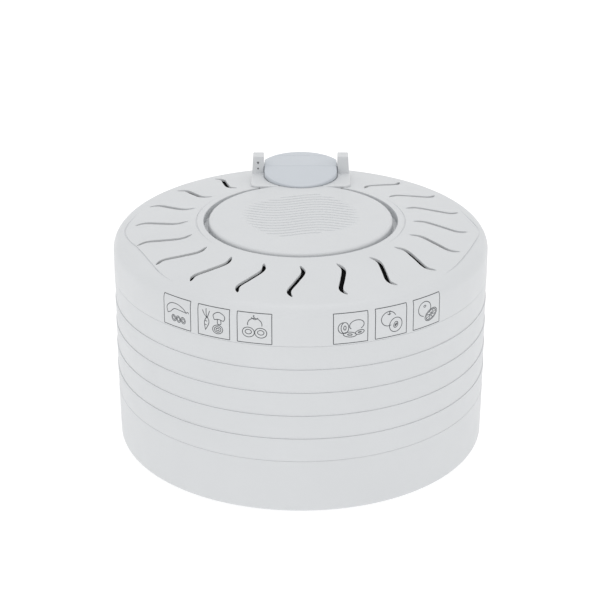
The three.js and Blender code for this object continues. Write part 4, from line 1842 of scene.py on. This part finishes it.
def dress_packed_nodes() -> None:
    """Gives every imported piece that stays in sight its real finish."""
    for finish, names in DRESSED:
        for name in names.split():
            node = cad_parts[name]
            node.data.materials.clear()
            node.data.materials.append(finish.material())
            LOG.info("%s: %s", name, finish.name)


# ---------------------------------------------------------------- studio
@dataclass
class Studio:
    """Pale floor, soft light and the camera."""

    target: tuple[float, float, float] = (-0.7, 0.0, 148.25)
    distance: float = 2221.35
    elevation_deg: float = 24.3
    lens: float = 125.9
    sensor: float = 36.0
    clip_end: float = 100.0  # metres
    sky: float = 0.91
    floor_size: float = 9000.0
    floor_glow: float = 0.72
    softboxes: tuple[tuple[str, tuple[float, float, float], float], ...] = (
        ("top_softbox", (0, -200, 2400), 7.0),
        ("front_softbox", (-300, -2400, 900), 2.0),
    )  # name, place and watts
    softbox_size: float = 1200.0
    aim_h: float = 150.0

    def build(self) -> None:
        """Sets up floor, light and camera."""
        self.place_camera()
        self.lay_floor()
        self.light_sky()
        for name, place, power in self.softboxes:
            self.hang_softbox(name, place, power)

    def place_camera(self) -> None:
        """Puts the camera at its viewing angle."""
        data = bpy.data.cameras.new("camera")
        data.lens = self.lens
        data.sensor_width = self.sensor
        data.clip_end = self.clip_end
        camera = placed("camera", data)
        tilt = math.radians(self.elevation_deg)
        target = Vector(self.target) * MM
        away = Vector((0, -math.cos(tilt), math.sin(tilt))) * self.distance * MM
        camera.location = target + away
        camera.rotation_euler = (-away).to_track_quat("-Z", "Y").to_euler()
        bpy.context.scene.camera = camera

    def lay_floor(self) -> None:
        """Lays a pale matt floor that glows faintly, as a lit sweep does."""
        bm = bmesh.new()
        bmesh.ops.create_grid(bm, x_segments=4, y_segments=4, size=self.floor_size / 2 * MM)
        floor = placed("floor", drafted(bm))
        material = bpy.data.materials.new("pale_sweep")
        material.use_nodes = True
        shader = material.node_tree.nodes["Principled BSDF"]
        shader.inputs["Base Color"].default_value = linear("#a8a8a8")
        shader.inputs["Roughness"].default_value = 0.9
        shader.inputs["Emission Color"].default_value = linear("#ffffff")
        shader.inputs["Emission Strength"].default_value = self.floor_glow
        floor.data.materials.append(material)

    def light_sky(self) -> None:
        """Surrounds the scene with even white light."""
        world = bpy.data.worlds.new("studio")
        world.use_nodes = True
        background = world.node_tree.nodes["Background"]
        background.inputs["Color"].default_value = (1, 1, 1, 1)
        background.inputs["Strength"].default_value = self.sky
        bpy.context.scene.world = world
        bpy.context.scene.view_settings.view_transform = "Standard"

    def hang_softbox(self, name: str, place: Sequence[float], power: float) -> None:
        """Hangs one square softbox that faces the machine.

        Args:
            name: the light's name.
            place: where it hangs, in millimetres.
            power: its power in watts.
        """
        data = bpy.data.lights.new(name, "AREA")
        data.shape = "SQUARE"
        data.size = self.softbox_size * MM
        data.energy = power
        light = placed(name, data)
        light.location = Vector(place) * MM
        aim = Vector((0, 0, self.aim_h)) * MM - light.location
        light.rotation_euler = aim.to_track_quat("-Z", "Y").to_euler()


def main() -> None:
    """Builds the machine and its studio in order."""
    logging.basicConfig(level=logging.INFO, format="%(name)s: %(message)s")
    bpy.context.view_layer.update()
    Studio().build()
    Base().build()
    for index in range(1, TRAY_COUNT + 1):
        DryingTray(index).build()
    HeadCover().build()
    Grommet().build()
    MotorCap().build()
    Rocker().build()
    FruitPrints().build()
    PostMarks().build()
    dress_packed_nodes()


if __name__ == "__main__":
    main()
